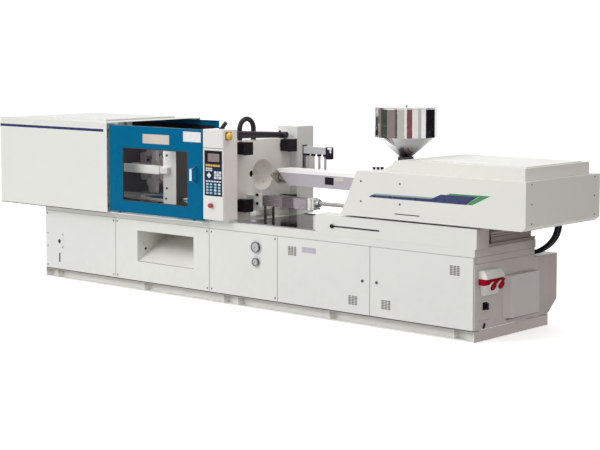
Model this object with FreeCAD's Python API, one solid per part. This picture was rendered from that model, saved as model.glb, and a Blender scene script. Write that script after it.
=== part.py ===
import FreeCAD, Part
import math
import os

# Injection moulding machine, 160-tonne class, as separate pieces in one frame, in millimetres.
# The origin is on the floor under the middle cross sill. +X runs from the clamp end to the
# injection end, +Y away from the operator, +Z up.

V = FreeCAD.Vector
os.makedirs("parts", exist_ok=True)

# ---- driving dimensions -------------------------------------------------------------------
AXIS_Z = 1037.0            # height of the screw, nozzle and clamp centre line
FIT = 0.05                 # radial clearance of pins, rods and bores that run in each other
SHEET = 3.0                # sheet of the panels, covers and guards

BASE_X = (-2890.0, 1900.0)
BASE_HALF = 485.0          # half the width of the welded bed
PLINTH_H = 80.0
PLINTH_DEEP = 65.0         # how far the plinth channel opens outwards
PLINTH_FLANGE = 8.0
PANEL_Z = (85.0, 612.0)
BED_TOP = 675.0
BED_BAND = 22.0            # thickness of the smooth band along the bed's top edge
DECK = 12.0
SEAMS = (-1933.0, -772.0, -8.0, 938.0)   # joints between the five front bays
SEAM_GAP = 6.0
RETURN = 18.0              # folded edge of panels and doors
COLUMN = 58.0
STIFFENERS = (-2727.0, -1570.0, -613.0, -446.0, 532.0, 1717.0)
STEP_X = 938.0             # from here on the deck's rear edge steps in beside the cabinet
STEP_Y = BASE_HALF - 180.0
WAY_Y = (190.0, 300.0)     # clamp ways, from the centre line
DROP_X = (-1640.0, -860.0) # the bed is open here, so mouldings fall into the chute

CHUTE_X = (-1650.0, -959.0)
CHUTE_Z = (255.0, 523.0)
CHUTE_BACK = 120.0         # Y where the chute's slope ends
CHUTE_TOP = 590.0

PLATEN_HALF_Y = 350.0

GUARD_X = (-3430.0, -1937.0)
GUARD_Z = (661.0, 1450.0)
GUARD_HALF = BASE_HALF + 85.0
GUARD_POST = 40.0
HATCH_RISE = 14.0

GATE_X = (-1916.0, -772.0)
GATE_Z = (685.0, 1433.0)
GATE_Y = (-GUARD_HALF + 8.0, -GUARD_HALF + 36.0)
GATE_SKIN = 2.5
WINDOW_X = (-1747.0, -945.0)
WINDOW_Z = (785.0, 1245.0)
PANE = 5.0
PANE_BACK = 6.0            # the pane lies this far behind the gate's face
LEDGE = 20.0               # frame round the window, inside the gate
STIFFENER = 40.0
HANDLE_X = -850.0
HANDLE_Z = (982.0, 1138.0)
HANDLE_OUT = 62.0
HANDLE_THICK = 17.0
HANDLE_WIDE = 26.0
REAR_GATE_SHIFT = -908.0   # the rear gate stands open by this much
RAIL_Z = (661.0, 671.0)    # the gates' rail along the bed
WHEEL_R = 17.0
WHEEL_IN = 110.0

CONTROL_X = (-760.0, -525.0)
CONTROL_Y = (-GUARD_HALF, -GUARD_HALF + 170.0)
CONTROL_Z = (700.0, 1439.0)
KEYPAD_X = (-739.0, -537.0)
KEYPAD_Z = (896.0, 1268.0)
KEYPAD_THICK = 4.0
CONTROL_RIDGE_Z = 1287.0
STOP_AT = (-656.0, 818.0)
STOP_HEAD_R = 20.0
STOP_STEM_R = 11.0
STOP_TRAVEL = 6.0
LAMP_AT = (CONTROL_Y[0] + 60.0, 1389.0)
LAMP_R = 36.0

POST_X = (-770.0, -543.0)
POST_Y = (PLATEN_HALF_Y + 2.0, BASE_HALF + 84.0)
POST_TOP = 1430.0
CONDUIT_RISE = (61.0, 28.0)    # the tube's centre over the platen, at its near and far end
CONDUIT_R = (33.0, 25.0)
CONDUIT_END_Y = 292.0
BOW_Y = (-177.0, -10.0)        # the bowed conduit's two legs
BOW_Z = 1423.0
BOW_R = 21.0

FIXED_PLATEN_X = (-820.0, -620.0)
FIXED_PLATEN_TOP = 1330.0
LOCATING_R = 62.5          # bore for a mould's locating ring, in both platens
BOWL_R = 130.0             # mouth of the nozzle's recess, which narrows to that bore
BOWL_DEEP = 105.0
NOTCH = (-128.0, AXIS_Z + 15.0, 30.0, 55.0)   # cable notch in the recess rim: Y, Z, radius, depth
BAR_Y = 273.0              # tie bars, from the centre line
BAR_Z = 237.0
BAR_R = 38.0
BAR_X0 = -2750.0
NUT_R = 47.0
NUT_LONG = 70.0
CAP_HALF = 49.0            # square caps over the bar nuts, on a round collar
CAP_COLLAR_R = 54.0
CAP_COLLAR = 14.0
CAP_LONG = 100.0
CAP_WALL = 2.0
CAP_FLANGE = 4.0
CAP_LIP = 8.0

MOVING_X = (-1462.0, -1302.0)
MOVING_HALF_Z = 330.0
SHOE_H = 22.0
TAIL_THICK = 180.0
TAIL_HALF_Z = 350.0
TAIL_EAR = 270.0           # from the tail platen's face to its toggle pins
MOVING_EAR = 100.0         # from the moving platen's face to its toggle pins

REAR_LINK = 230.0          # toggle: pin to pin lengths, and heights of the pins
FRONT_LINK = 340.0
SHORT_LINK = 130.0
TAIL_PIN_Z = 275.0
MOVING_PIN_Z = 250.0
CROSS_PIN_Z = 95.0
ARM_PIN_AT = 150.0         # short link's pin on the rear link, from the tail pin
ARM_PIN_TURN = 25.0        # and its angle inwards from the rear link's line
FOLD_REST = 85.0           # angle of the rear link from straight, as it stands
TAIL_PIN_R = 28.0
KNEE_PIN_R = 25.0
SMALL_PIN_R = 20.0
LINK_MID = 64.0            # half width of the front links and of the tail platen's ears
ARM_Y = (70.0, 108.0)      # the two arms of each rear link
SHORT_MID = 40.0
FORK_Y = (44.0, 66.0)
EAR_Y = (70.0, 118.0)      # moving platen's ears
CROSS_HALF_X = 30.0
GUIDE_Y = 140.0
GUIDE_R = 16.0
CLAMP_ROD_R = 30.0
CLAMP_STROKE = 300.0
CLAMP_TUBE_R = 62.0
EJECTOR_ROD_R = 14.0
EJECTOR_TUBE_R = 42.0
EJECTOR_LONG = 150.0

SAFETY_Y = (-398.0, -354.0)
SAFETY_Z = (1015.0, 1085.0)
SAFETY_LONG = 640.0

SEAT_X = (-427.0, 58.0)
SEAT_Y = (-205.0, -105.0)
SEAT_Z = (803.0, 890.0)
SEAT_HEAD = 98.0
SEAT_ROD_R = 16.0
SEAT_ROD_Z = 858.0
SEAT_LEG = 16.0

WATER_X = (-320.0, -75.0)
WATER_Y = 205.0
WATER_TOP = 1278.0
WATER_LOW = 995.0

WAY_COVER_X = (392.0, 1915.0)
WAY_COVER_Z = (675.0, 822.0)
SLOT_X = (539.0, 1028.0)
SLOT_Z = 738.0
SLOT_H = 13.0
RAIL_X = (480.0, 1872.0)
RAIL_TOP = 742.0
RAIL_STEM_Y = (180.0, 250.0)   # tee rails, from the centre line
RAIL_HEAD_Y = (165.0, 265.0)
RAIL_HEAD_H = 20.0
RAIL_BASE_H = 22.0

PLATE_X = (-514.0, 385.0)
PLATE_HALF_Y = BASE_HALF - 74.0
PLATE_THICK = 3.0

HOOD_HALF = BASE_HALF + 9.0
HOOD_BOTTOM = 836.0
HOOD_TOP = 1184.0
HOOD_X = (654.0, 815.0, 2301.0, 2332.0)  # slanted front at bottom and top, chamfer, end
HOOD_CHAMFER = 29.0
TOP_X = (1010.0, 1150.0, 2280.0)         # upper cover: foot and top of its slope, and its end
TOP_HALF = HOOD_HALF - 69.0
TOP_Z = 1273.0

BARREL_R = 50.0
BAND_R = 56.0
BARREL_X = (-430.0, 1010.0)
NOZZLE_TIP = -522.0
BORE_R = 22.5
SCREW_R = 22.0
COVER_HALF = 88.0
COVER_TOP = 1105.0
COVER_BOTTOM = 975.0
COVER_FRONT = (-376.0, -246.0)
HOUSING_X = (800.0, 1000.0)
CARRIAGE_X = (620.0, 1900.0)
CARRIAGE_HALF = 285.0
WAY_COVER_IN = CARRIAGE_HALF + 45.0         # inner side of the near way cover, clear of the carriage
CARRIAGE_BED_Z = (744.0, 790.0)
PAD_LONG = 200.0           # sliding pads under both ends of the carriage
SUPPORTS_X = (900.0, 1750.0)   # cross members that carry the hood
SUPPORT_WIDE = 40.0
SUPPORT_RISE = 46.0
SUPPORT_THICK = 14.0
HOUSING_HALF = 190.0       # feed housing: half width, and height above the axis
HOUSING_RISE = 94.0
FEED_R = 30.0
SEAT_ROD_X0 = -120.0
TIE_Y = 130.0              # injection cylinders, either side of the barrel
TUBE_R = 46.0
TUBE_LONG = 330.0
PUSHER_X = (1560.0, 1660.0)
PUSHER_ROD_R = 20.0
MOTOR_R = 95.0
MOTOR_LONG = 210.0

HOPPER_AT = 900.0
HOPPER_R = 244.0
HOPPER_Z = (1262.0, 1420.0, 1645.0)
HOPPER_THROAT_R = 42.0
HOPPER_WALL = 2.5
NECK_HALF = 52.0
SHUTTER_Z = (1216.0, 1224.0)
SHUTTER_HALF = 40.0
SHUTTER_LONG = 105.0        # from the throat to the pull

DOOR_GAP = 3.0
LATCH_AT = ((866.0, 343.0), (1004.0, 345.0))
LATCH_R = 11.0
LATCH_STEM_R = 8.0
CAM_LONG = 30.0
VENTS = ((108.0, 473.0), (729.0, 150.0), (1051.0, 150.0), (1683.0, 474.0))
VENT_WIDE = 92.0
VENT_HIGH = 73.0
VENT_COLUMNS = 3
VENT_SLOTS = 6

GAUGES = ((-237.0, 504.0, 45.0), (-237.0, 383.0, 35.0))
GAUGE_OUT = 22.0
ACCESS_X = (-2872.0, -2639.0)
ACCESS_Z = (273.0, 417.0)
ACCESS_HOLE = (-2696.0, 338.0)
ACCESS_HOLE_R = 19.0
SIGHT_SLOT = (-2696.0, 149.0, 231.0)
SCREW_HEAD_R = 7.0
SCREW_HEAD_H = 3.0
SCREW_IN = 26.0

END_THICK = 8.0
END_SEAM_Z = 566.0
END_BOX_Y = (-BASE_HALF + 362.0, BASE_HALF - 192.0)
END_BOX_Z = (130.0, 447.0)
END_BOX_OUT = 46.0
END_BOX_BEVEL = 55.0
CABINET_X = (950.0, 1897.0)
CABINET_Y = BASE_HALF + 127.0
CABINET_TOP = 542.0
CABINET_KNEE = 190.0

SOCKETS_Y = (-BASE_HALF + 107.0, -BASE_HALF + 215.0)
SOCKET_TOP = 514.0
SOCKET_FACE = ((1975.0, 470.0), (1925.0, 345.0))   # top and bottom of the slanted faces, X and Z
SOCKET_HALF = 54.0
LID_R = 38.0
LID_THICK = 9.0
LID_OUT = 14.5             # the closed lid's inner face, out from the slanted face
LID_HINGE_UP = 50.0        # the lid's hinge pin, up from the middle of its socket
SWITCH_AT = (-BASE_HALF + 128.0, 253.0)
SWITCH_R = 27.0

HOSE_R = 17.0
HOSE_Y = (BASE_HALF - 150.0, BASE_HALF - 110.0)    # the two hoses lie side by side
HOSE_PATH = ((2070.0, 836.0), (2070.0, 775.0), (2045.0, 700.0), (1990.0, 636.0),
             (1920.0, 590.0), (1860.0, 566.0), (1800.0, 566.0))


# ---- small shape helpers ------------------------------------------------------------------
def box(x, y, z):
    """A block between two X, two Y and two Z values."""
    return Part.makeBox(x[1] - x[0], y[1] - y[0], z[1] - z[0], V(x[0], y[0], z[0]))


def rod_x(y, z, r, x0, x1):
    return Part.makeCylinder(r, x1 - x0, V(x0, y, z), V(1, 0, 0))


def rod_y(x, z, r, y0, y1):
    return Part.makeCylinder(r, y1 - y0, V(x, y0, z), V(0, 1, 0))


def rod_z(x, y, r, z0, z1):
    return Part.makeCylinder(r, z1 - z0, V(x, y, z0), V(0, 0, 1))


def plate_y(outline, y0, y1):
    """An outline of X, Z points, extruded from y0 to y1."""
    points = [V(x, y0, z) for x, z in outline]
    return Part.Face(Part.makePolygon(points + points[:1])).extrude(V(0, y1 - y0, 0))


def plate_x(outline, x0, x1):
    """An outline of Y, Z points, extruded from x0 to x1."""
    points = [V(x0, y, z) for y, z in outline]
    return Part.Face(Part.makePolygon(points + points[:1])).extrude(V(x1 - x0, 0, 0))


def turned_x(outline, y=0.0, z=AXIS_Z):
    """An outline of X, radius points, turned about the X axis through y, z."""
    points = [V(x, y, z + r) for x, r in outline]
    face = Part.Face(Part.makePolygon(points + points[:1]))
    return face.revolve(V(0, y, z), V(1, 0, 0), 360)


def turned_z(outline, x, y=0.0):
    """An outline of radius, Z points, turned about the vertical through x, y."""
    points = [V(x + r, y, z) for r, z in outline]
    face = Part.Face(Part.makePolygon(points + points[:1]))
    return face.revolve(V(x, y, 0), V(0, 0, 1), 360)


def fuse(first, *others):
    return first.multiFuse(list(others)).removeSplitter()


def cut(first, *others):
    return first.cut(list(others))


def flip_y(shape):
    """The same piece on the other side of the centre line."""
    return shape.mirror(V(0, 0, 0), V(0, 1, 0))


def flip_z(shape):
    """The same piece on the other side of the machine's axis height."""
    return shape.mirror(V(0, 0, AXIS_Z), V(0, 0, 1))


def save(node, *pieces):
    solids = [solid for piece in pieces for solid in piece.Solids]
    shape = solids[0] if len(solids) == 1 else Part.makeCompound(solids)
    shape.exportStep("parts/%s.step" % node)
    valid = all(solid.isValid() for solid in solids)
    print("%-22s %2d solid(s) %9.0f cm3 %s" % (node, len(solids), shape.Volume / 1000.0,
                                               "" if valid else "INVALID"))


def bars_at(x0, x1, r):
    """Four rods on the tie bar centres."""
    return [rod_x(y, AXIS_Z + z, r, x0, x1) for y in (-BAR_Y, BAR_Y) for z in (-BAR_Z, BAR_Z)]


# ---- bed ----------------------------------------------------------------------------------
def plinth_channel(side):
    """One long channel that opens outwards, with welded stiffeners."""
    outer, inner = BASE_HALF, BASE_HALF - PLINTH_DEEP
    near, far = sorted((side * outer, side * inner))
    web = sorted((side * inner, side * (inner - PLINTH_FLANGE)))
    pieces = [box(BASE_X, (near, far), (0, PLINTH_FLANGE)),
              box(BASE_X, (near, far), (PLINTH_H - PLINTH_FLANGE, PLINTH_H)),
              box(BASE_X, web, (0, PLINTH_H))]
    for x in STIFFENERS:
        pieces.append(box((x - 4, x + 4), (near, far), (0, PLINTH_H)))
    return pieces


def base_frame():
    x0, x1 = BASE_X
    inside = BASE_HALF - RETURN - 4
    pieces = plinth_channel(-1) + plinth_channel(1)
    for x in (x0, x1 - PLINTH_FLANGE):
        pieces.append(box((x, x + PLINTH_FLANGE), (-BASE_HALF, BASE_HALF), (0, PLINTH_H)))
    sills = [SEAMS[0], SEAMS[1], 0.0, SEAMS[3]]
    inner = BASE_HALF - PLINTH_DEEP - PLINTH_FLANGE
    for x in sills:
        pieces.append(box((x - 40, x + 40), (-inner, inner), (0, PLINTH_H)))
    posts = [x0 + COLUMN / 2 + 4] + list(SEAMS) + [x1 - END_THICK - COLUMN / 2 - 2]
    for x in posts:
        for side in (-1, 1):
            high = BED_TOP - DECK
            y = (inside - COLUMN, inside) if side > 0 else (-inside, -inside + COLUMN)
            if side > 0 and x >= STEP_X:
                y = (STEP_Y - COLUMN, STEP_Y)
            pieces.append(box((x - COLUMN / 2, x + COLUMN / 2), y, (PLINTH_H - 8, high)))
    # the smooth band round the top, and the deck inside it
    band = (PANEL_Z[1] + 3, BED_TOP)
    pieces.append(box((x0, x1), (-BASE_HALF, -BASE_HALF + BED_BAND), band))
    pieces.append(box((x0, STEP_X + BED_BAND), (BASE_HALF - BED_BAND, BASE_HALF), band))
    pieces.append(box((STEP_X, x1), (STEP_Y - BED_BAND, STEP_Y), band))
    pieces.append(box((STEP_X, STEP_X + BED_BAND), (STEP_Y - BED_BAND, BASE_HALF), band))
    pieces.append(box((x1 - BED_BAND, x1), (-BASE_HALF, STEP_Y), band))
    deck = (BED_TOP - DECK, BED_TOP)
    pieces.append(box((SEAMS[1], STEP_X + BED_BAND), (-BASE_HALF, BASE_HALF), deck))
    pieces.append(box((STEP_X, x1), (-BASE_HALF, STEP_Y), deck))
    for side in (-1, 1):
        strip = sorted((side * WAY_Y[0], side * BASE_HALF))
        pieces.append(box((x0, SEAMS[1] + 1), strip, deck))
        way = sorted((side * WAY_Y[0], side * WAY_Y[1]))
        pieces.append(box((x0, SEAMS[1] + 40), way, (BED_TOP - 60, BED_TOP)))
    pieces.append(box((x0, DROP_X[0]), (-WAY_Y[0] - 1, WAY_Y[0] + 1), deck))
    pieces.append(box((DROP_X[1], SEAMS[1] + 1), (-WAY_Y[0] - 1, WAY_Y[0] + 1), deck))
    pieces.append(box((x0, x0 + SHEET), (-BASE_HALF + 22, BASE_HALF - 22), (PLINTH_H - 8, BED_TOP)))
    # beside the cabinet the band stands on one sheet, and the bed's side is another
    wide = (STEP_X, x1 - END_THICK)
    pieces.append(box(wide, (STEP_Y - SHEET, STEP_Y), (CABINET_TOP - 20, band[0] + 1)))
    pieces.append(box(wide, (BASE_HALF - SHEET, BASE_HALF), (PLINTH_H - 8, CABINET_TOP - SHEET)))
    # the gates roll on a rail along each edge of the bed
    for side in (-1, 1):
        rail = sorted((side * (BASE_HALF - 5), side * (-GATE_Y[1] + 16)))
        pieces.append(box((x0 + 20, SEAMS[1] - 4), rail, RAIL_Z))
    save("base_frame", fuse(*pieces))


def tray_panel(x0, x1, z0, z1, side=-1, outer=BASE_HALF):
    """A sheet panel with its four edges folded inwards."""
    face = sorted((side * outer, side * (outer - RETURN)))
    panel = box((x0, x1), face, (z0, z1))
    hollow = sorted((side * (outer - SHEET), side * (outer - RETURN - 1)))
    return panel.cut(box((x0 + SHEET, x1 - SHEET), hollow, (z0 + SHEET, z1 - SHEET)))


def front_panels():
    z0, z1 = PANEL_Z
    gap = SEAM_GAP / 2
    edges = [BASE_X[0]] + list(SEAMS[:3])
    panels = [tray_panel(a + (gap if i else 0), b - gap, z0, z1)
              for i, (a, b) in enumerate(zip(edges, edges[1:]))]
    slot_x, slot_z0, slot_z1 = SIGHT_SLOT
    front = (-BASE_HALF - 10, -BASE_HALF + SHEET + 1)
    hole = rod_y(ACCESS_HOLE[0], ACCESS_HOLE[1], ACCESS_HOLE_R, front[0], front[1])
    panels[0] = cut(panels[0], hole, box((slot_x - 6, slot_x + 6), front, (slot_z0, slot_z1)))
    panels[1] = cut(panels[1], box(CHUTE_X, front, CHUTE_Z))
    for x, z, r in GAUGES:
        panels[2] = cut(panels[2], rod_y(x, z, r - 8, front[0], front[1]))
    cover = box(ACCESS_X, (-BASE_HALF - 2, -BASE_HALF), ACCESS_Z)
    return panels + [cover.cut(hole)]


def rear_panels():
    z0, z1 = PANEL_Z
    gap = SEAM_GAP / 2
    edges = [BASE_X[0]] + list(SEAMS)
    return [tray_panel(a + (gap if i else 0), b - gap, z0, z1, side=1)
            for i, (a, b) in enumerate(zip(edges, edges[1:]))]


def bed_panels():
    """The screwed sheet panels of both sides, and the small access cover."""
    save("bed_panels", *(front_panels() + rear_panels()))


def panel_screws():
    """Flat screw heads in the corners of the front panels and of the access cover."""
    spots = []
    edges = [BASE_X[0]] + list(SEAMS[:3])
    for a, b in zip(edges, edges[1:]):
        for x in (a + SCREW_IN, b - SCREW_IN):
            for z in (PANEL_Z[0] + SCREW_IN, PANEL_Z[1] - SCREW_IN):
                spots.append((x, z, -BASE_HALF))
    for x in (ACCESS_X[0] + 14, ACCESS_X[1] - 14):
        for z in (ACCESS_Z[0] + 14, ACCESS_Z[1] - 14):
            spots.append((x, z, -BASE_HALF - 2))
    save("panel_screws", *[rod_y(x, z, SCREW_HEAD_R, y - SCREW_HEAD_H, y) for x, z, y in spots])


def drop_chute():
    """A folded tray that carries mouldings out through the front: floor, two cheeks and a lip."""
    x0, x1 = CHUTE_X
    front = -BASE_HALF + SHEET
    z0 = CHUTE_Z[0]
    slope = [(front, z0 - SHEET), (CHUTE_BACK, CHUTE_TOP - SHEET), (CHUTE_BACK, CHUTE_TOP), (front, z0)]
    cheek = [(front, z0 - SHEET), (CHUTE_BACK, CHUTE_TOP - SHEET), (CHUTE_BACK, CHUTE_TOP),
             (front + 40, CHUTE_TOP), (front, CHUTE_Z[1])]
    floor = plate_x(slope, x0 - SHEET, x1 + SHEET)
    left = plate_x(cheek, x0 - SHEET, x0)
    right = plate_x(cheek, x1, x1 + SHEET)
    hole = rod_x(-BASE_HALF + 75, CHUTE_Z[0] + 150, 12, x0 - 10, x0 + 10)
    lip = box((x0 - 14, x1 + 14), (front, front + SHEET), (z0 - 14, CHUTE_Z[1] + 14))
    lip = lip.cut(box((x0, x1), (front - 1, front + SHEET + 1), (z0, CHUTE_Z[1])))
    save("drop_chute", cut(fuse(floor, left, right, lip), hole))


def pressure_gauges():
    """Two dial gauges: a turned case with a raised rim, let into the third panel."""
    gauges = []
    for x, z, r in GAUGES:
        rim = rod_y(x, z, r, -BASE_HALF - GAUGE_OUT, -BASE_HALF)
        dial = rod_y(x, z, r - 7, -BASE_HALF - GAUGE_OUT - 1, -BASE_HALF - GAUGE_OUT + 6)
        body = rod_y(x, z, r - 9, -BASE_HALF - 1, -BASE_HALF + 45)
        gauges.append(fuse(rim.cut(dial), body))
    save("pressure_gauges", *gauges)


def bed_plate():
    """Polished plate on the bed under the nozzle, its edges turned up a little."""
    z = BED_TOP
    plate = box(PLATE_X, (-PLATE_HALF_Y, PLATE_HALF_Y), (z, z + PLATE_THICK))
    lip = box(PLATE_X, (-PLATE_HALF_Y, -PLATE_HALF_Y + 4), (z, z + 9))
    foot = box((SEAT_X[0] - 10, SEAT_X[0] + 60), (SEAT_Y[0] - 10, SEAT_Y[1] + 10), (z - 1, z + 20))
    save("bed_plate", fuse(plate, lip, flip_y(lip)).cut(foot))


def way_cover():
    """Folded box covers along both sides of the carriage ways; the near one has a long slot."""
    x0, x1 = WAY_COVER_X
    z0, z1 = WAY_COVER_Z
    y0, y1 = -BASE_HALF, -WAY_COVER_IN
    near = box((x0, x1), (y0, y1), (z0, z1))
    near = near.cut(box((x0 + SHEET, x1 - SHEET), (y0 + SHEET, y1 - SHEET), (z0 - 1, z1 - SHEET)))
    ends = [box(SLOT_X, (y0 - 1, y0 + SHEET + 1), (SLOT_Z - SLOT_H / 2, SLOT_Z + SLOT_H / 2))]
    far_y = (STEP_Y + 3, STEP_Y + 25)
    far = box((x0, STEP_X - 10), (STEP_Y + 25, BASE_HALF), (z0, z1))
    hollow = box((x0 + SHEET, STEP_X - 10 - SHEET), (far_y[1] + SHEET, BASE_HALF - SHEET),
                 (z0 - 1, z1 - SHEET))
    save("way_cover", cut(near, *ends), far.cut(hollow))


def carriage_rails():
    """Machined base plate and two tee rails that the injection carriage slides on."""
    x0, x1 = RAIL_X
    base_y = (-WAY_COVER_IN + 18, STEP_Y - 5)
    pieces = [box((x0, x1 + 14), base_y, (BED_TOP, BED_TOP + RAIL_BASE_H))]
    under = RAIL_TOP - RAIL_HEAD_H
    for side in (-1, 1):
        stem = sorted((side * RAIL_STEM_Y[0], side * RAIL_STEM_Y[1]))
        head = sorted((side * RAIL_HEAD_Y[0], side * RAIL_HEAD_Y[1]))
        pieces.append(box((x0, x1), stem, (BED_TOP + RAIL_BASE_H - 1, under)))
        pieces.append(box((x0, x1), head, (under, RAIL_TOP)))
    # two stepped plates close the rails' right end
    inner = RAIL_HEAD_Y[1] - 3
    pieces.append(box((x1 + 2, x1 + 14), (-inner, inner), (BED_TOP + RAIL_BASE_H - 1, RAIL_TOP - 2)))
    pieces.append(box((x1 + 13, BASE_X[1] - 2), base_y, (BED_TOP, BED_TOP + 25)))
    save("carriage_rails", fuse(*pieces))


def end_panel():
    """Right end: an upper and a lower plate, and a shallow box with a bevelled near edge."""
    x0, x1 = BASE_X[1] - END_THICK, BASE_X[1]
    upper = box((x0, x1), (-BASE_HALF + 24, STEP_Y - 23), (END_SEAM_Z + 2, PANEL_Z[1] + 1))
    near, step, far = -BASE_HALF + 4, STEP_Y - 23, BASE_HALF
    low, high = PANEL_Z[0], END_SEAM_Z - 2
    shelf = CABINET_TOP - SHEET
    outline = [(near, low), (far, low), (far, shelf), (step, shelf), (step, high), (near, high)]
    lower = plate_x(outline, x0, x1)
    y0, y1 = END_BOX_Y
    outline = [V(x1, y0, 0), V(x1 + END_BOX_OUT, y0 + END_BOX_BEVEL, 0), V(x1 + END_BOX_OUT, y1, 0),
               V(x1, y1, 0)]
    profile = Part.Face(Part.makePolygon(outline + outline[:1]))
    profile.translate(V(0, 0, END_BOX_Z[0]))
    cover = profile.extrude(V(0, 0, END_BOX_Z[1] - END_BOX_Z[0]))
    save("end_panel", upper, lower, cover)


def rear_cabinet():
    """Sheet cabinet on the far side, with a flat top and an undercut lower edge."""
    x0, x1 = CABINET_X
    y0 = BASE_HALF
    outline = [(y0, 95), (y0 + 15, 95), (CABINET_Y, CABINET_KNEE), (CABINET_Y, CABINET_TOP),
               (STEP_Y, CABINET_TOP), (STEP_Y, CABINET_TOP - SHEET), (y0, CABINET_TOP - SHEET)]
    shell = plate_x(outline, x0, x1)
    end = HOSE_PATH[-1]
    block = box((end[0] - 55, end[0]), (HOSE_Y[0] - 22, HOSE_Y[1] + 22), (CABINET_TOP - 1, end[1] + 24))
    save("rear_cabinet", fuse(shell, block))


# ---- doors, latches, sockets and switch ------------------------------------------------------
def vent_cuts(x0, z0):
    """Louvre slots in columns."""
    pitch_x = VENT_WIDE / VENT_COLUMNS
    pitch_z = VENT_HIGH / VENT_SLOTS
    cuts = []
    for i in range(VENT_COLUMNS):
        for j in range(VENT_SLOTS):
            x = x0 + i * pitch_x
            z = z0 + j * pitch_z
            cuts.append(box((x, x + pitch_x * 0.76), (-BASE_HALF - 1, -BASE_HALF + SHEET + 1),
                            (z, z + pitch_z * 0.5)))
    return cuts


def cabinet_door(node, x0, x1, latch):
    door = tray_panel(x0, x1, PANEL_Z[0], PANEL_Z[1])
    cuts = [rod_y(latch[0], latch[1], LATCH_STEM_R + FIT, -BASE_HALF - 1, -BASE_HALF + SHEET + 1)]
    for vx, vz in VENTS:
        if x0 < vx < x1:
            cuts += vent_cuts(vx, vz)
    save(node, cut(door, *cuts))


def door_latch(node, at, side):
    """Quarter-turn lock: slotted head, stem through the door and a cam behind it."""
    x, z = at
    front = -BASE_HALF
    head = rod_y(x, z, LATCH_R, front - 5, front)
    head = head.cut(box((x - 8, x + 8), (front - 6, front - 2), (z - 1.5, z + 1.5)))
    stem = rod_y(x, z, LATCH_STEM_R, front - 1, front + 18)
    cam = box(sorted((x - side * 9, x + side * CAM_LONG)), (front + 12, front + 16), (z - 8, z + 8))
    save(node, fuse(head, stem, cam))


def socket_frame(y):
    """Middle of a slanted socket face, the direction up along it and its outward normal."""
    (tx, tz), (bx, bz) = SOCKET_FACE
    up = V(tx - bx, 0, tz - bz).normalize()
    return V((tx + bx) / 2, y, (tz + bz) / 2), up, V(up.z, 0, -up.x)


def on_socket(y, across, along, out):
    """A block on a socket face: ranges across it, up along it and out of it."""
    seat, up, normal = socket_frame(y)
    block = box(across, along, out)
    block.Placement = FreeCAD.Placement(seat, FreeCAD.Rotation(V(0, 1, 0), up, normal, "YXZ"))
    return block


def socket_pin(y, r, half):
    """The lid's hinge pin."""
    seat, up, normal = socket_frame(y)
    at = seat + up * LID_HINGE_UP + normal * (LID_OUT + LID_THICK / 2)
    return Part.makeCylinder(r, 2 * half, at - V(0, half, 0), V(0, 1, 0))


def socket_housing():
    """Two slanted power sockets on one wall box, with collars and hinge lugs for the lids."""
    x0 = BASE_X[1]
    (tx, tz), (bx, bz) = SOCKET_FACE
    pieces = [box((x0, x0 + 30), SOCKETS_Y, (SOCKET_TOP - 120, SOCKET_TOP - 10))]
    wells = []
    for y in SOCKETS_Y:
        outline = [(x0, SOCKET_TOP), (x0 + 45, SOCKET_TOP), (tx, tz), (bx, bz), (x0, bz - 20)]
        pieces.append(plate_y(outline, y - SOCKET_HALF, y + SOCKET_HALF))
        seat, up, normal = socket_frame(y)
        pieces.append(Part.makeCylinder(LID_R - 4, LID_OUT - 0.5 + 10, seat - normal * 10, normal))
        wells.append(Part.makeCylinder(LID_R - 9, LID_OUT + 15, seat - normal * 14, normal))
        for side in (-1, 1):
            lug = sorted((side * 14, side * 20))
            pieces.append(on_socket(y, lug, (LID_HINGE_UP - 6, LID_HINGE_UP + 6), (-1, LID_OUT + LID_THICK)))
        pieces.append(socket_pin(y, 2.5, 20))
    save("socket_housing", fuse(*pieces).cut(wells))


def socket_lid(node, y):
    """Round spring lid over a socket, with its hinge ear at the top."""
    seat, up, normal = socket_frame(y)
    lid = Part.makeCylinder(LID_R, LID_THICK, seat + normal * LID_OUT, normal)
    ear = on_socket(y, (-13, 13), (LID_R - 10, LID_HINGE_UP + 6), (LID_OUT, LID_OUT + LID_THICK))
    save(node, fuse(lid, ear).cut(socket_pin(y, 2.5 + FIT, 14)))


def main_switch_knob():
    """Rotary isolator: a disc with a raised grip."""
    y, z = SWITCH_AT
    x = BASE_X[1]
    disc = rod_x(y, z, SWITCH_R, x, x + 14)
    grip = box((x + 13, x + 34), (y - 8, y + 8), (z - SWITCH_R + 3, z + SWITCH_R - 3))
    save("main_switch_knob", fuse(disc, grip))


def slot_knob():
    """Clamping knob of the carriage stop, at the left end of the long slot."""
    x = SLOT_X[0] + 26
    y = -BASE_HALF
    head = rod_y(x, SLOT_Z, 15, y - 18, y - 2)
    collar = rod_y(x, SLOT_Z, 10, y - 3, y - FIT)
    washer = rod_y(x, SLOT_Z, 12, y + SHEET + FIT, y + SHEET + 4)
    stem = rod_y(x, SLOT_Z, SLOT_H / 2 - 0.5, y - 2, y + 14)
    save("slot_knob", fuse(head, collar, stem, washer))


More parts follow.
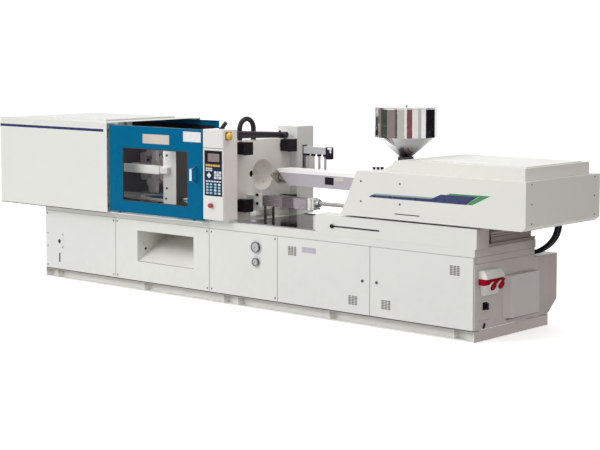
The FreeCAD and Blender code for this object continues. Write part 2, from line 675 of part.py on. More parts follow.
# ---- guards and gates -------------------------------------------------------------------------
def clamp_guard():
    """Fixed guard over the toggles: two side sheets, an end wall, a roof and its posts."""
    x0, x1 = GUARD_X
    z0, z1 = GUARD_Z
    h = GUARD_HALF
    pieces = [box((x0, x0 + SHEET), (-h, h), (z0, z1)),
              box((x0, x1), (-h, h), (z1 - SHEET, z1))]
    for side in (-1, 1):
        sheet = sorted((side * h, side * (h - SHEET)))
        pieces.append(box((x0, x1), sheet, (z0, z1)))
        # the turned edge ends short of the gate that slides behind it
        post = sorted((side * (BASE_HALF - 5), side * (BASE_HALF - 5 - GUARD_POST)))
        for x in (x1 - GUARD_POST, BASE_X[0] + 10)[(1 if side > 0 else 0):]:
            pieces.append(box((x, x + GUARD_POST), post, (BED_TOP, z1 - 1)))
        rim = sorted((side * h, side * (h - 5)))
        pieces.append(box((x1 - 42, x1), rim, (z0, z1)))
        rail = sorted((side * (BASE_HALF - 5), side * (h - 1)))
        pieces.append(box((BASE_X[0] + 10, x1), rail, (z1 - 10, z1 - 1)))
    hatch = box((x0 + 240, x1 - 180), (-h + 150, h - 150), (z1 - 1, z1 + HATCH_RISE))
    hatch = hatch.cut(box((x0 + 243, x1 - 183), (-h + 153, h - 153), (z1 - 9, z1 + HATCH_RISE - SHEET)))
    pieces.append(hatch)
    save("clamp_guard", fuse(*pieces))


def gate_sheet(hollow):
    """Sheet gate, open at the back: a skin with folded edges on two rollers."""
    gate = box(GATE_X, GATE_Y, GATE_Z)
    pocket = box((GATE_X[0] + GATE_SKIN, GATE_X[1] - GATE_SKIN), (GATE_Y[0] + GATE_SKIN, GATE_Y[1] + 1),
                 (GATE_Z[0] + GATE_SKIN, GATE_Z[1] - GATE_SKIN))
    frame = box((WINDOW_X[0] - LEDGE, WINDOW_X[1] + LEDGE), (GATE_Y[0] + 1, GATE_Y[1]),
                (WINDOW_Z[0] - LEDGE, WINDOW_Z[1] + LEDGE))
    wheel_z = RAIL_Z[1] + WHEEL_R + FIT
    wheels = [rod_y(x, wheel_z, WHEEL_R, GATE_Y[1] - 14, GATE_Y[1] - 4)
              for x in (GATE_X[0] + WHEEL_IN, GATE_X[1] - WHEEL_IN)]
    return fuse(cut(fuse(gate.cut(pocket), frame), *hollow), *wheels)


def front_gate():
    """The operator's gate: its window is open through, with a ledge for the pane behind."""
    window = box(WINDOW_X, (GATE_Y[0] - 1, GATE_Y[1] + 1), WINDOW_Z)
    t = LEDGE - 5
    ledge = box((WINDOW_X[0] - t, WINDOW_X[1] + t), (GATE_Y[0] + PANE_BACK, GATE_Y[1] + 1),
                (WINDOW_Z[0] - t, WINDOW_Z[1] + t))
    save("front_gate", gate_sheet([window, ledge]))


def gate_window():
    """Clear pane in the ledge behind the gate's skin."""
    t = LEDGE - 5.5
    y = GATE_Y[0] + PANE_BACK
    save("gate_window", box((WINDOW_X[0] - t, WINDOW_X[1] + t), (y, y + PANE),
                            (WINDOW_Z[0] - t, WINDOW_Z[1] + t)))


def gate_handle():
    """Bow handle bolted to the gate: slanted ends and a straight grip."""
    z0, z1 = HANDLE_Z
    y = GATE_Y[0]
    out = y - HANDLE_OUT
    t = HANDLE_THICK
    outer = [(y, z0), (y, z0 + t), (out + t, z0 + 42), (out + t, z1 - 42), (y, z1 - t), (y, z1),
             (out, z1 - 30), (out, z0 + 30)]
    grip = plate_x(outer, HANDLE_X - HANDLE_WIDE / 2, HANDLE_X + HANDLE_WIDE / 2)
    edges = [e for e in grip.Edges if e.Length > 20 and abs(e.Vertexes[0].X - e.Vertexes[1].X) < 1e-6]
    save("gate_handle", grip.makeFillet(3.0, edges))


def rear_gate():
    """The far side's gate, standing open: a closed sheet with a stiffening frame inside."""
    back = box((WINDOW_X[0] + STIFFENER, WINDOW_X[1] - STIFFENER), (GATE_Y[0] + GATE_SKIN, GATE_Y[1] + 1),
               (WINDOW_Z[0] + STIFFENER, WINDOW_Z[1] - STIFFENER))
    gate = flip_y(gate_sheet([back]))
    gate.translate(V(REAR_GATE_SHIFT, 0, 0))
    save("rear_gate", gate)


# ---- control box and what is on it ---------------------------------------------------------
def control_box():
    shell = box(CONTROL_X, CONTROL_Y, CONTROL_Z)
    corners = [e for e in shell.Edges if abs(e.Vertexes[0].Z - e.Vertexes[1].Z) > 100]
    shell = shell.makeFillet(9.0, corners)
    ridge = box((CONTROL_X[0] - 1, CONTROL_X[1] + 1), (CONTROL_Y[0] - 1, CONTROL_Y[0] + 3),
                (CONTROL_RIDGE_Z - 2, CONTROL_RIDGE_Z + 2))
    recess = box(KEYPAD_X, (CONTROL_Y[0] - 1, CONTROL_Y[0] + 3), KEYPAD_Z)
    stem = rod_y(STOP_AT[0], STOP_AT[1], STOP_STEM_R + FIT, CONTROL_Y[0] - 1, CONTROL_Y[0] + 40)
    foot = box((CONTROL_X[0] + 20, CONTROL_X[1] - 20), (-BASE_HALF + 5, CONTROL_Y[1] - 5),
               (BED_TOP, CONTROL_Z[0] + 1))
    arm = box((CONTROL_X[0] + 30, CONTROL_X[1] - 120), (CONTROL_Y[1] - 1, -PLATEN_HALF_Y),
              (1180, 1300))
    save("control_box", fuse(shell, foot, arm).cut([ridge, recess, stem]))


def keypad():
    save("keypad", box(KEYPAD_X, (CONTROL_Y[0] + 3 - KEYPAD_THICK, CONTROL_Y[0] + 3), KEYPAD_Z))


def emergency_stop():
    """Mushroom head on a stem that slides into the box."""
    x, z = STOP_AT
    y = CONTROL_Y[0]
    head = rod_y(x, z, STOP_HEAD_R, y - 30, y - 16)
    neck = rod_y(x, z, STOP_STEM_R + 3, y - 17, y - STOP_TRAVEL - 1)
    stem = rod_y(x, z, STOP_STEM_R, y - STOP_TRAVEL - 2, y + 30)
    rim = [e for e in head.Edges if abs(e.Length - 2 * math.pi * STOP_HEAD_R) < 0.1
           and e.CenterOfMass.y < y - 25]
    save("emergency_stop", fuse(head.makeFillet(5.0, rim), neck, stem))


def alarm_lamp():
    """Domed lamp on a round socket, on the box's injection-side face."""
    y, z = LAMP_AT
    x = CONTROL_X[1]
    base = rod_x(y, z, LAMP_R, x, x + 14)
    dome = Part.makeSphere(LAMP_R - 3, V(x + 10, y, z))
    dome = dome.common(box((x + 10, x + 60), (y - 60, y + 60), (z - 60, z + 60)))
    save("alarm_lamp", fuse(base, dome))


def rear_post():
    """Sheet cabinet that stands behind the fixed platen and carries the rear gate's end."""
    post = box(POST_X, POST_Y, (BED_TOP, POST_TOP))
    corners = [e for e in post.Edges if abs(e.Vertexes[0].Z - e.Vertexes[1].Z) > 100]
    save("rear_post", post.makeFillet(8.0, corners))


def platen_conduits():
    """Cable conduits on the fixed platen: a tapering tube across it, a bow and a stub."""
    top = FIXED_PLATEN_TOP
    x = FIXED_PLATEN_X[1] - 32
    start = V(x, CONTROL_Y[1] + 4, top + CONDUIT_RISE[0])
    end = V(x, CONDUIT_END_Y, top + CONDUIT_RISE[1])
    tube = Part.makeCone(CONDUIT_R[0], CONDUIT_R[1], (end - start).Length, start, end - start)
    nut = rod_y(x, start.z, CONDUIT_R[0] + 3, CONTROL_Y[1], CONTROL_Y[1] + 16)
    elbow = rod_x(end.y, end.z, CONDUIT_R[1] + 2, x - 30, x + 42)
    foot = box((x - 24, x + 24), (end.y - 20, end.y + 20), (top, end.z - 8))
    stud = rod_z(x, end.y - 38, 8, end.z, end.z + CONDUIT_R[1] + 15)
    loop_x = x - 62
    (y0, y1), high, r = BOW_Y, BOW_Z, BOW_R
    middle = (y0 + y1) / 2
    wire = Part.Wire([Part.LineSegment(V(loop_x, y0, top), V(loop_x, y0, high)).toShape(),
                      Part.Arc(V(loop_x, y0, high), V(loop_x, middle, high + (y1 - y0) / 2),
                               V(loop_x, y1, high)).toShape(),
                      Part.LineSegment(V(loop_x, y1, high), V(loop_x, y1, top)).toShape()])
    section = Part.Wire([Part.Circle(V(loop_x, y0, top), V(0, 0, 1), r).toShape()])
    loop = wire.makePipeShell([section], True, False)
    start = V(CONTROL_X[1] - 150, CONTROL_Y[1] - 30, CONTROL_Z[1])
    collar = rod_z(start.x, start.y, 24, start.z, start.z + 12)
    lean = V(0.55, 0.25, 0.80).normalize()
    stub = fuse(collar, Part.makeCylinder(17, 62, start + V(0, 0, 4), lean))
    stub = stub.cut(box((start.x - 60, start.x + 60), (start.y - 60, start.y + 60), (start.z - 60, start.z)))
    save("platen_conduits", fuse(tube, nut, elbow, foot, stud), loop, stub)


# ---- clamp: platens and tie bars --------------------------------------------------------------
def stationary_platen():
    x0, x1 = FIXED_PLATEN_X
    block = box((x0, x1), (-PLATEN_HALF_Y, PLATEN_HALF_Y), (AXIS_Z - 300, FIXED_PLATEN_TOP))
    edges = [e for e in block.Edges if abs(e.Vertexes[0].X - e.Vertexes[1].X) > 100]
    block = block.makeFillet(22.0, edges)
    feet = []
    for side in (-1, 1):
        foot = sorted((side * 150, side * 335))
        feet.append(box((x0 - 20, x1), foot, (BED_TOP, AXIS_Z - 290)))
    bowl = turned_x([(x1 + 1, 0), (x1 + 1, BOWL_R), (x1, BOWL_R), (x1 - BOWL_DEEP, LOCATING_R),
                     (x1 - BOWL_DEEP, 0)])
    ring = rod_x(0, AXIS_Z, LOCATING_R, x0 - 1, x1 - BOWL_DEEP)
    small = [rod_x(98 * math.cos(a), AXIS_Z + 98 * math.sin(a), 6, x1 - 75, x1 + 1)
             for a in [math.radians(45 + 90 * i) for i in range(4)]]
    y, z, r, deep = NOTCH
    notch = rod_x(y, z, r, x1 - deep, x1 + 1)
    holes = [bowl, ring, notch] + small + bars_at(x0 - 1, x1 + 1, BAR_R)
    save("stationary_platen", fuse(block, *feet).cut(holes))


def tie_bars():
    """Four ground bars with their nuts at the fixed platen and at the tail."""
    x1 = FIXED_PLATEN_X[1]
    bars = []
    for y in (-BAR_Y, BAR_Y):
        for z in (AXIS_Z - BAR_Z, AXIS_Z + BAR_Z):
            bar = rod_x(y, z, BAR_R, BAR_X0, x1 + NUT_LONG + 8)
            nut = rod_x(y, z, NUT_R, x1, x1 + NUT_LONG)
            bars.append(fuse(bar, nut))
    save("tie_bars", *bars)


def tie_bar_caps():
    """Black square caps over the bar nuts, on round collars, with a lip at the outer end."""
    x = FIXED_PLATEN_X[1]
    end = x + CAP_LONG
    caps = []
    for y in (-BAR_Y, BAR_Y):
        for z in (AXIS_Z - BAR_Z, AXIS_Z + BAR_Z):
            half, lip = CAP_HALF, CAP_HALF + CAP_FLANGE
            cap = box((x, end), (y - half, y + half), (z - half, z + half))
            flare = box((end - CAP_LIP, end), (y - lip, y + lip), (z - lip, z + lip))
            collar = rod_x(y, z, CAP_COLLAR_R, x, x + CAP_COLLAR)
            inside = rod_x(y, z, CAP_HALF - CAP_WALL, x - 1, end - 6)
            caps.append(fuse(cap, flare, collar).cut(inside))
    save("tie_bar_caps", *caps)


# Toggle pins in the X, Z plane, as the machine stands; heights are from the axis.
FOLD = math.radians(FOLD_REST)
KNEE_DROP = TAIL_PIN_Z - REAR_LINK * math.sin(FOLD)
FRONT_RUN = math.sqrt(FRONT_LINK ** 2 - (MOVING_PIN_Z - KNEE_DROP) ** 2)
MOVING_PIN_X = MOVING_X[0] - MOVING_EAR
TAIL_PIN_X = MOVING_PIN_X - FRONT_RUN - REAR_LINK * math.cos(FOLD)
ARM_TURN = math.radians(FOLD_REST + ARM_PIN_TURN)
TAIL_PIN = (TAIL_PIN_X, TAIL_PIN_Z)
KNEE_PIN = (TAIL_PIN_X + REAR_LINK * math.cos(FOLD), KNEE_DROP)
MOVING_PIN = (MOVING_PIN_X, MOVING_PIN_Z)
ARM_PIN = (TAIL_PIN_X + ARM_PIN_AT * math.cos(ARM_TURN), TAIL_PIN_Z - ARM_PIN_AT * math.sin(ARM_TURN))
CROSS_RUN = math.sqrt(SHORT_LINK ** 2 - (ARM_PIN[1] - CROSS_PIN_Z) ** 2)
CROSS_PIN = (ARM_PIN[0] - CROSS_RUN, CROSS_PIN_Z)
TAIL_FACE = TAIL_PIN_X - TAIL_EAR


def bar_link(a, b, ra, rb, y0, y1, waist=0.72):
    """A link in the X, Z plane: two round eyes and a tapering web between them."""
    dx, dz = b[0] - a[0], b[1] - a[1]
    long = math.hypot(dx, dz)
    nx, nz = -dz / long, dx / long
    web = [(a[0] + nx * ra * waist, AXIS_Z + a[1] + nz * ra * waist),
           (b[0] + nx * rb * waist, AXIS_Z + b[1] + nz * rb * waist),
           (b[0] - nx * rb * waist, AXIS_Z + b[1] - nz * rb * waist),
           (a[0] - nx * ra * waist, AXIS_Z + a[1] - nz * ra * waist)]
    return [plate_y(web, y0, y1), rod_y(a[0], AXIS_Z + a[1], ra, y0, y1),
            rod_y(b[0], AXIS_Z + b[1], rb, y0, y1)]


def rear_link():
    """Upper rear link: two cheeks joined by the knee pin, with lugs for the short link."""
    pieces = []
    for side in (-1, 1):
        y0, y1 = sorted((side * ARM_Y[0], side * ARM_Y[1]))
        pieces += bar_link(TAIL_PIN, KNEE_PIN, 46, 38, y0, y1)
        pieces += bar_link(TAIL_PIN, ARM_PIN, 40, 30, y0, y1)
    pieces.append(rod_y(KNEE_PIN[0], AXIS_Z + KNEE_PIN[1], KNEE_PIN_R, -ARM_Y[1], ARM_Y[1]))
    bore = rod_y(TAIL_PIN[0], AXIS_Z + TAIL_PIN[1], TAIL_PIN_R + FIT, -ARM_Y[1] - 1, ARM_Y[1] + 1)
    return fuse(*pieces).cut(bore)


def front_link():
    """Upper front link: an I-shaped bar between the knee and the moving platen's ears."""
    pieces = bar_link(KNEE_PIN, MOVING_PIN, 42, 36, -LINK_MID, LINK_MID)
    shape = fuse(*pieces)
    dx, dz = MOVING_PIN[0] - KNEE_PIN[0], MOVING_PIN[1] - KNEE_PIN[1]
    turn = FreeCAD.Placement(V(KNEE_PIN[0], 0, AXIS_Z + KNEE_PIN[1]),
                             FreeCAD.Rotation(V(0, 1, 0), -math.degrees(math.atan2(dz, dx))))
    pockets = []
    for side in (-1, 1):
        y0, y1 = sorted((side * (LINK_MID - 20), side * (LINK_MID + 1)))
        pocket = box((70, FRONT_LINK - 62), (y0, y1), (-17, 17))
        pocket = pocket.makeFillet(14, [e for e in pocket.Edges
                                        if abs(e.Vertexes[0].Y - e.Vertexes[1].Y) > 1])
        pocket.Placement = turn
        pockets.append(pocket)
    bore = rod_y(KNEE_PIN[0], AXIS_Z + KNEE_PIN[1], KNEE_PIN_R + FIT, -LINK_MID - 1, LINK_MID + 1)
    return shape.cut(pockets + [bore])


def short_link():
    """Upper short link, from the crosshead's fork to between the rear link's cheeks."""
    pieces = bar_link(CROSS_PIN, ARM_PIN, 32, 30, -SHORT_MID, SHORT_MID)
    bore = rod_y(CROSS_PIN[0], AXIS_Z + CROSS_PIN[1], SMALL_PIN_R + FIT, -SHORT_MID - 1, SHORT_MID + 1)
    return fuse(*pieces).cut(bore)


def toggle_links():
    for name, make in (("rear_link", rear_link), ("front_link", front_link), ("short_link", short_link)):
        upper = make()
        save("upper_" + name, upper)
        save("lower_" + name, flip_z(upper))


def tail_platen():
    """Tail platen with its long ears, toggle pins, bar nuts, shoes and crosshead guides."""
    x0, x1 = TAIL_FACE - TAIL_THICK, TAIL_FACE
    block = box((x0, x1), (-PLATEN_HALF_Y + 10, PLATEN_HALF_Y - 10),
                (AXIS_Z - TAIL_HALF_Z + 24, AXIS_Z + TAIL_HALF_Z - 20))
    edges = [e for e in block.Edges if abs(e.Vertexes[0].X - e.Vertexes[1].X) > 100]
    block = block.makeFillet(20.0, edges)
    pieces = [block]
    for sign in (-1, 1):
        z = AXIS_Z + sign * TAIL_PIN_Z
        pieces.append(box((x1 - 1, TAIL_PIN_X), (-LINK_MID, LINK_MID), (z - 40, z + 40)))
        pieces.append(rod_y(TAIL_PIN_X, z, 40, -LINK_MID, LINK_MID))
        pieces.append(rod_y(TAIL_PIN_X, z, TAIL_PIN_R, -ARM_Y[1] - 6, ARM_Y[1] + 6))
        for y in (-BAR_Y, BAR_Y):
            pieces.append(rod_x(y, AXIS_Z + sign * BAR_Z, NUT_R + 12, x0 - 60, x0 + 1))
        guide = rod_x(sign * GUIDE_Y, AXIS_Z, GUIDE_R, x1 - 20, TAIL_PIN_X + 60)
        pieces.append(guide)
        shoe = sorted((sign * WAY_Y[0], sign * WAY_Y[1]))
        pieces.append(box((x0 - 30, x1 + 30), shoe, (BED_TOP + FIT, AXIS_Z - TAIL_HALF_Z + 30)))
    holes = bars_at(x0 - 70, x1 + 10, BAR_R + FIT)
    rod = rod_x(0, AXIS_Z, CLAMP_ROD_R + 2, x0 - 1, x1 + 1)
    save("tail_platen", fuse(*pieces).cut(holes + [rod]))


def clamp_cylinder():
    """Hydraulic cylinder behind the tail platen, hollow for the rod, with end flanges."""
    x1 = TAIL_FACE - TAIL_THICK
    long = CLAMP_STROKE + 170
    x0 = x1 - long
    outline = [(x1, CLAMP_ROD_R + FIT), (x1, 95), (x1 - 40, 95), (x1 - 40, CLAMP_TUBE_R),
               (x0 + 40, CLAMP_TUBE_R), (x0 + 40, 80), (x0, 80), (x0, 0), (x0 + 30, 0),
               (x0 + 30, CLAMP_ROD_R + FIT)]
    save("clamp_cylinder", turned_x(outline))


def crosshead():
    """Crosshead with two forks and their pins, wings on the guides, and the clamp rod."""
    x, _ = CROSS_PIN
    half = CROSS_HALF_X
    pieces = [box((x - half, x + half), (-GUIDE_Y - 34, GUIDE_Y + 34), (AXIS_Z - 34, AXIS_Z + 34))]
    for sign in (-1, 1):
        z = AXIS_Z + sign * CROSS_PIN_Z
        low, high = sorted((AXIS_Z + sign * 30, z))
        for side in (-1, 1):
            y0, y1 = sorted((side * FORK_Y[0], side * FORK_Y[1]))
            pieces.append(box((x - half, x + half), (y0, y1), (low, high)))
            pieces.append(rod_y(x, z, half, y0, y1))
        pieces.append(rod_y(x, z, SMALL_PIN_R, -FORK_Y[1], FORK_Y[1]))
    back = TAIL_FACE - TAIL_THICK - CLAMP_STROKE - 30
    pieces.append(rod_x(0, AXIS_Z, CLAMP_ROD_R, back + 100, x + half - 5))
    guides = [rod_x(sign * GUIDE_Y, AXIS_Z, GUIDE_R + FIT, x - half - 1, x + half + 1) for sign in (-1, 1)]
    save("crosshead", fuse(*pieces).cut(guides))


def moving_platen():
    """Moving platen with ears for the front links, shoes on the ways and the ejector's bore."""
    x0, x1 = MOVING_X
    block = box((x0, x1), (-PLATEN_HALF_Y, PLATEN_HALF_Y), (AXIS_Z - MOVING_HALF_Z, AXIS_Z + MOVING_HALF_Z))
    edges = [e for e in block.Edges if abs(e.Vertexes[0].X - e.Vertexes[1].X) > 100]
    block = block.makeFillet(20.0, edges)
    pieces = [block]
    for sign in (-1, 1):
        z = AXIS_Z + sign * MOVING_PIN_Z
        for side in (-1, 1):
            y0, y1 = sorted((side * EAR_Y[0], side * EAR_Y[1]))
            pieces.append(box((MOVING_PIN_X, x0 + 1), (y0, y1), (z - 36, z + 36)))
            pieces.append(rod_y(MOVING_PIN_X, z, 36, y0, y1))
            cap = sorted((side * EAR_Y[1], side * (EAR_Y[1] + 7)))
            pieces.append(rod_y(MOVING_PIN_X, z, 24, cap[0] - 1, cap[1] + 1))
        shoe = sorted((sign * WAY_Y[0], sign * WAY_Y[1]))
        pieces.append(box((x0 - 60, x1 + 20), shoe, (BED_TOP + FIT, BED_TOP + SHOE_H)))
        pieces.append(box((x0 + 10, x1 - 10), shoe, (BED_TOP + SHOE_H - 1, AXIS_Z - MOVING_HALF_Z + 1)))
    holes = bars_at(x0 - 1, x1 + 1, BAR_R + FIT)
    eject = rod_x(0, AXIS_Z, EJECTOR_ROD_R + 4, x0 - 1, x1 + 1)
    ring = rod_x(0, AXIS_Z, LOCATING_R, x1 - 12, x1 + 1)
    save("moving_platen", fuse(*pieces).cut(holes + [eject, ring]))


def ejector():
    """Ejector cylinder behind the moving platen, and the rod that pushes through it."""
    x0 = MOVING_X[0]
    end = x0 - EJECTOR_LONG
    outline = [(x0, EJECTOR_ROD_R + FIT), (x0, 60), (x0 - 18, 60), (x0 - 18, EJECTOR_TUBE_R),
               (end, EJECTOR_TUBE_R), (end, 0), (end + 12, 0), (end + 12, EJECTOR_ROD_R + FIT)]
    save("ejector_cylinder", turned_x(outline))
    tip = MOVING_X[1] - 22
    rod = [(end + 15, 0), (end + 15, EJECTOR_ROD_R), (tip - 8, EJECTOR_ROD_R), (tip, EJECTOR_ROD_R - 6),
           (tip, 0)]
    save("ejector_rod", turned_x(rod))


def safety_bar():
    """Mechanical safety bar: a square guard box on the platen's edge, with a round bar in it."""
    x1 = MOVING_X[0]
    x0 = x1 - SAFETY_LONG
    shell = box((x0, x1), SAFETY_Y, SAFETY_Z)
    shell = shell.cut(box((x0 - 1, x1 - 40), (SAFETY_Y[0] + 4, SAFETY_Y[1] - 4),
                          (SAFETY_Z[0] + 4, SAFETY_Z[1] - 4)))
    y = (SAFETY_Y[0] + SAFETY_Y[1]) / 2
    z = (SAFETY_Z[0] + SAFETY_Z[1]) / 2
    arm = box((x1 - 1, x1 + 90), (SAFETY_Y[0] + 6, -PLATEN_HALF_Y), (SAFETY_Z[0] + 8, SAFETY_Z[1] - 8))
    save("safety_bar", fuse(shell, arm, rod_x(y, z, 15, x0 - 30, x1 - 30)))


# ---- seat cylinder and water manifold ------------------------------------------------------------
def seat_cylinder():
    """Cylinder that draws the carriage to the platen: barrel block, head, gland, arm and legs."""
    x0, x1 = SEAT_X
    y = (SEAT_Y[0] + SEAT_Y[1]) / 2
    body = box((x0, x1), SEAT_Y, SEAT_Z)
    head = box((x1 - 1, x1 + SEAT_HEAD * 0.6), (SEAT_Y[0] + 6, SEAT_Y[1] - 6), (SEAT_Z[0] - 4, SEAT_Z[1] + 6))
    gland = rod_x(y, SEAT_ROD_Z, SEAT_ROD_R + 14, x1, x1 + SEAT_HEAD)
    arm = box((FIXED_PLATEN_X[1], x0 + 1), (SEAT_Y[0] + 10, SEAT_Y[1] - 10), (SEAT_Z[0] + 8, SEAT_Z[1] - 8))
    plate = box((x0 - 90, x0 - 2), (SEAT_Y[0] - 6, SEAT_Y[0] + 12), (SEAT_Z[0] - 16, SEAT_Z[1] + 15))
    legs = [box((x, x + SEAT_LEG), (leg_y, leg_y + SEAT_LEG), (BED_TOP, SEAT_Z[0] + 1))
            for x, leg_y in ((x0 + 10, SEAT_Y[0] + 4), (x0 + 34, SEAT_Y[1] - 24))]
    bolts = [rod_y(x0 - 54, z, 11, SEAT_Y[0] - 16, SEAT_Y[0] + 1) for z in (SEAT_Z[0] + 15, SEAT_Z[1])]
    bore = rod_x(y, SEAT_ROD_Z, SEAT_ROD_R + FIT, x0 + 20, x1 + SEAT_HEAD + 1)
    save("seat_cylinder", fuse(body, head, gland, arm, plate, *(legs + bolts)).cut(bore))


def water_manifold():
    """Cooling water manifold on an arm of the fixed platen: two bars, four flow tubes, a valve."""
    x0, x1 = WATER_X
    y0, y1 = WATER_Y - 22, WATER_Y + 22
    low = WATER_LOW
    pieces = [box((x0, x1), (y0, y1), (WATER_TOP - 58, WATER_TOP)),
              box((x0, x1), (y0, y1), (low, low + 50)),
              box((x0 - 12, x0 + 1), (y0, y1), (low, WATER_TOP + 14)),
              box((FIXED_PLATEN_X[1], x0 - 11), (y0 + 6, y1 - 6), (low + 4, low + 36)),
              box((x1 - 1, x1 + 46), (y0 - 3, y1 + 3), (WATER_TOP - 96, WATER_TOP + 4))]
    pitch = (x1 - x0 - 50) / 3
    for i in range(4):
        x = x0 + 25 + i * pitch
        pieces.append(rod_z(x, WATER_Y, 13, low + 49, WATER_TOP - 57))
        pieces.append(rod_z(x, WATER_Y, 18, WATER_TOP - 74, WATER_TOP - 57))
    save("water_manifold", fuse(*pieces))


# ---- injection unit ---------------------------------------------------------------------------
def injection_carriage():
    """Carriage bed on the rails, the feed housing round the barrel and the seat rods."""
    c0, c1 = CARRIAGE_X
    under, top = CARRIAGE_BED_Z
    pieces = [box(CARRIAGE_X, (-CARRIAGE_HALF, CARRIAGE_HALF), CARRIAGE_BED_Z)]
    for side in (-1, 1):
        gib = sorted((side * (RAIL_HEAD_Y[1] + 3), side * CARRIAGE_HALF))
        pad = sorted((side * RAIL_HEAD_Y[0], side * RAIL_HEAD_Y[1]))
        for x in (c0 + 20, c1 - PAD_LONG - 40):
            pieces.append(box((x, x + PAD_LONG), gib, (RAIL_TOP - 30, under + 1)))
            pieces.append(box((x, x + PAD_LONG), pad, (RAIL_TOP + FIT, under + 1)))
    x0, x1 = HOUSING_X
    high = AXIS_Z + HOUSING_RISE
    pieces.append(box((x0, x1), (-HOUSING_HALF, HOUSING_HALF), (top - 1, high)))
    pieces.append(box((x0 + 25, x1 - 25), (-NECK_HALF, NECK_HALF), (high - 4, SHUTTER_Z[0])))
    # the seat cylinder's rod, held in a lug at the carriage's front edge
    y = (SEAT_Y[0] + SEAT_Y[1]) / 2
    pieces.append(rod_x(y, SEAT_ROD_Z, SEAT_ROD_R, SEAT_ROD_X0, c0 + 2))
    pieces.append(box((c0 - 20, c0 + 30), (y - 40, y + 40), (top - 10, SEAT_ROD_Z + 40)))
    # supports of the hood, out to its side sheets
    level = top + SUPPORT_RISE
    for x in SUPPORTS_X:
        span = (x, x + SUPPORT_WIDE)
        pieces.append(box(span, (-HOOD_HALF + SHEET, HOOD_HALF - SHEET), (level, level + SUPPORT_THICK)))
        pieces.append(box(span, (-CARRIAGE_HALF + 15, CARRIAGE_HALF - 15), (top - 1, level + 1)))
    # bracket with the two hose fittings
    hx, hz = HOSE_PATH[0]
    inner_y = CARRIAGE_HALF - 30
    pieces.append(box((c1 - 50, hx + 40), (inner_y, HOSE_Y[1] + 30), (hz + 10, hz + 22)))
    pieces.append(box((c1 - 50, c1 - 10), (inner_y, CARRIAGE_HALF), (top - 1, hz + 11)))
    pieces += [rod_z(hx, y, HOSE_R + 2, hz, hz + 11) for y in HOSE_Y]
    bore = rod_x(0, AXIS_Z, BARREL_R, x0 - 1, x1 + 1)
    feed = rod_z(HOPPER_AT, 0, FEED_R, AXIS_Z + FEED_R, SHUTTER_Z[0] + 1)
    save("injection_carriage", fuse(*pieces).cut([bore, feed]))


def barrel():
    """Screw barrel with its ribbed head and the heater bands that clamp round it."""
    x0, x1 = BARREL_X
    outline = [(x0, BORE_R), (x0, 62), (x0 + 45, 62), (x0 + 45, BARREL_R)]
    x = x0 + 60
    while x + 130 < HOUSING_X[0]:
        outline += [(x, BARREL_R), (x, BAND_R), (x + 120, BAND_R), (x + 120, BARREL_R)]
        x += 145
    outline += [(x1, BARREL_R), (x1, BORE_R)]
    feed = rod_z(HOPPER_AT, 0, 28, AXIS_Z + 10, AXIS_Z + 80)
    save("barrel", turned_x(outline).cut(feed))


def nozzle():
    """Turned nozzle: a conical head, a short neck and a rounded tip."""
    x1 = BARREL_X[0]
    t = NOZZLE_TIP
    outline = [(x1, 4), (x1, 52), (x1 - 14, 50), (x1 - 38, 34), (x1 - 44, 27), (x1 - 66, 25),
               (t + 16, 20), (t + 6, 13), (t, 9), (t, 4)]
    save("nozzle", turned_x(outline))


def screw():
    """Plasticising screw: tip, ring seat, core and drive shaft."""
    x0 = BARREL_X[0] + 210
    outline = [(x0, 0), (x0 + 40, 12), (x0 + 44, 16), (x0 + 60, 16), (x0 + 60, SCREW_R), (x0 + 75, SCREW_R)]
    x = x0 + 95
    while x < BARREL_X[1] - 60:
        outline += [(x, 15), (x + 26, 15), (x + 30, SCREW_R), (x + 36, SCREW_R)]
        x += 56
    outline += [(x, SCREW_R), (PUSHER_X[1] - 20, SCREW_R), (PUSHER_X[1] - 20, 0)]
    save("screw", turned_x(outline))


def barrel_cover():
    """Folded cover over the barrel, open below, its front edge slanted."""
    top, bottom = COVER_TOP, COVER_BOTTOM
    a, b = COVER_FRONT
    outline = [(b, bottom), (a, top), (HOUSING_X[0], top), (HOUSING_X[0], bottom)]
    shell = plate_y(outline, -COVER_HALF, COVER_HALF)
    end = HOUSING_X[0] + 1
    inner = [(b - 30, bottom - 10), (a - 30, top - 2), (end, top - 2), (end, bottom - 10)]
    save("barrel_cover", shell.cut(plate_y(inner, -COVER_HALF + 2, COVER_HALF - 2)))


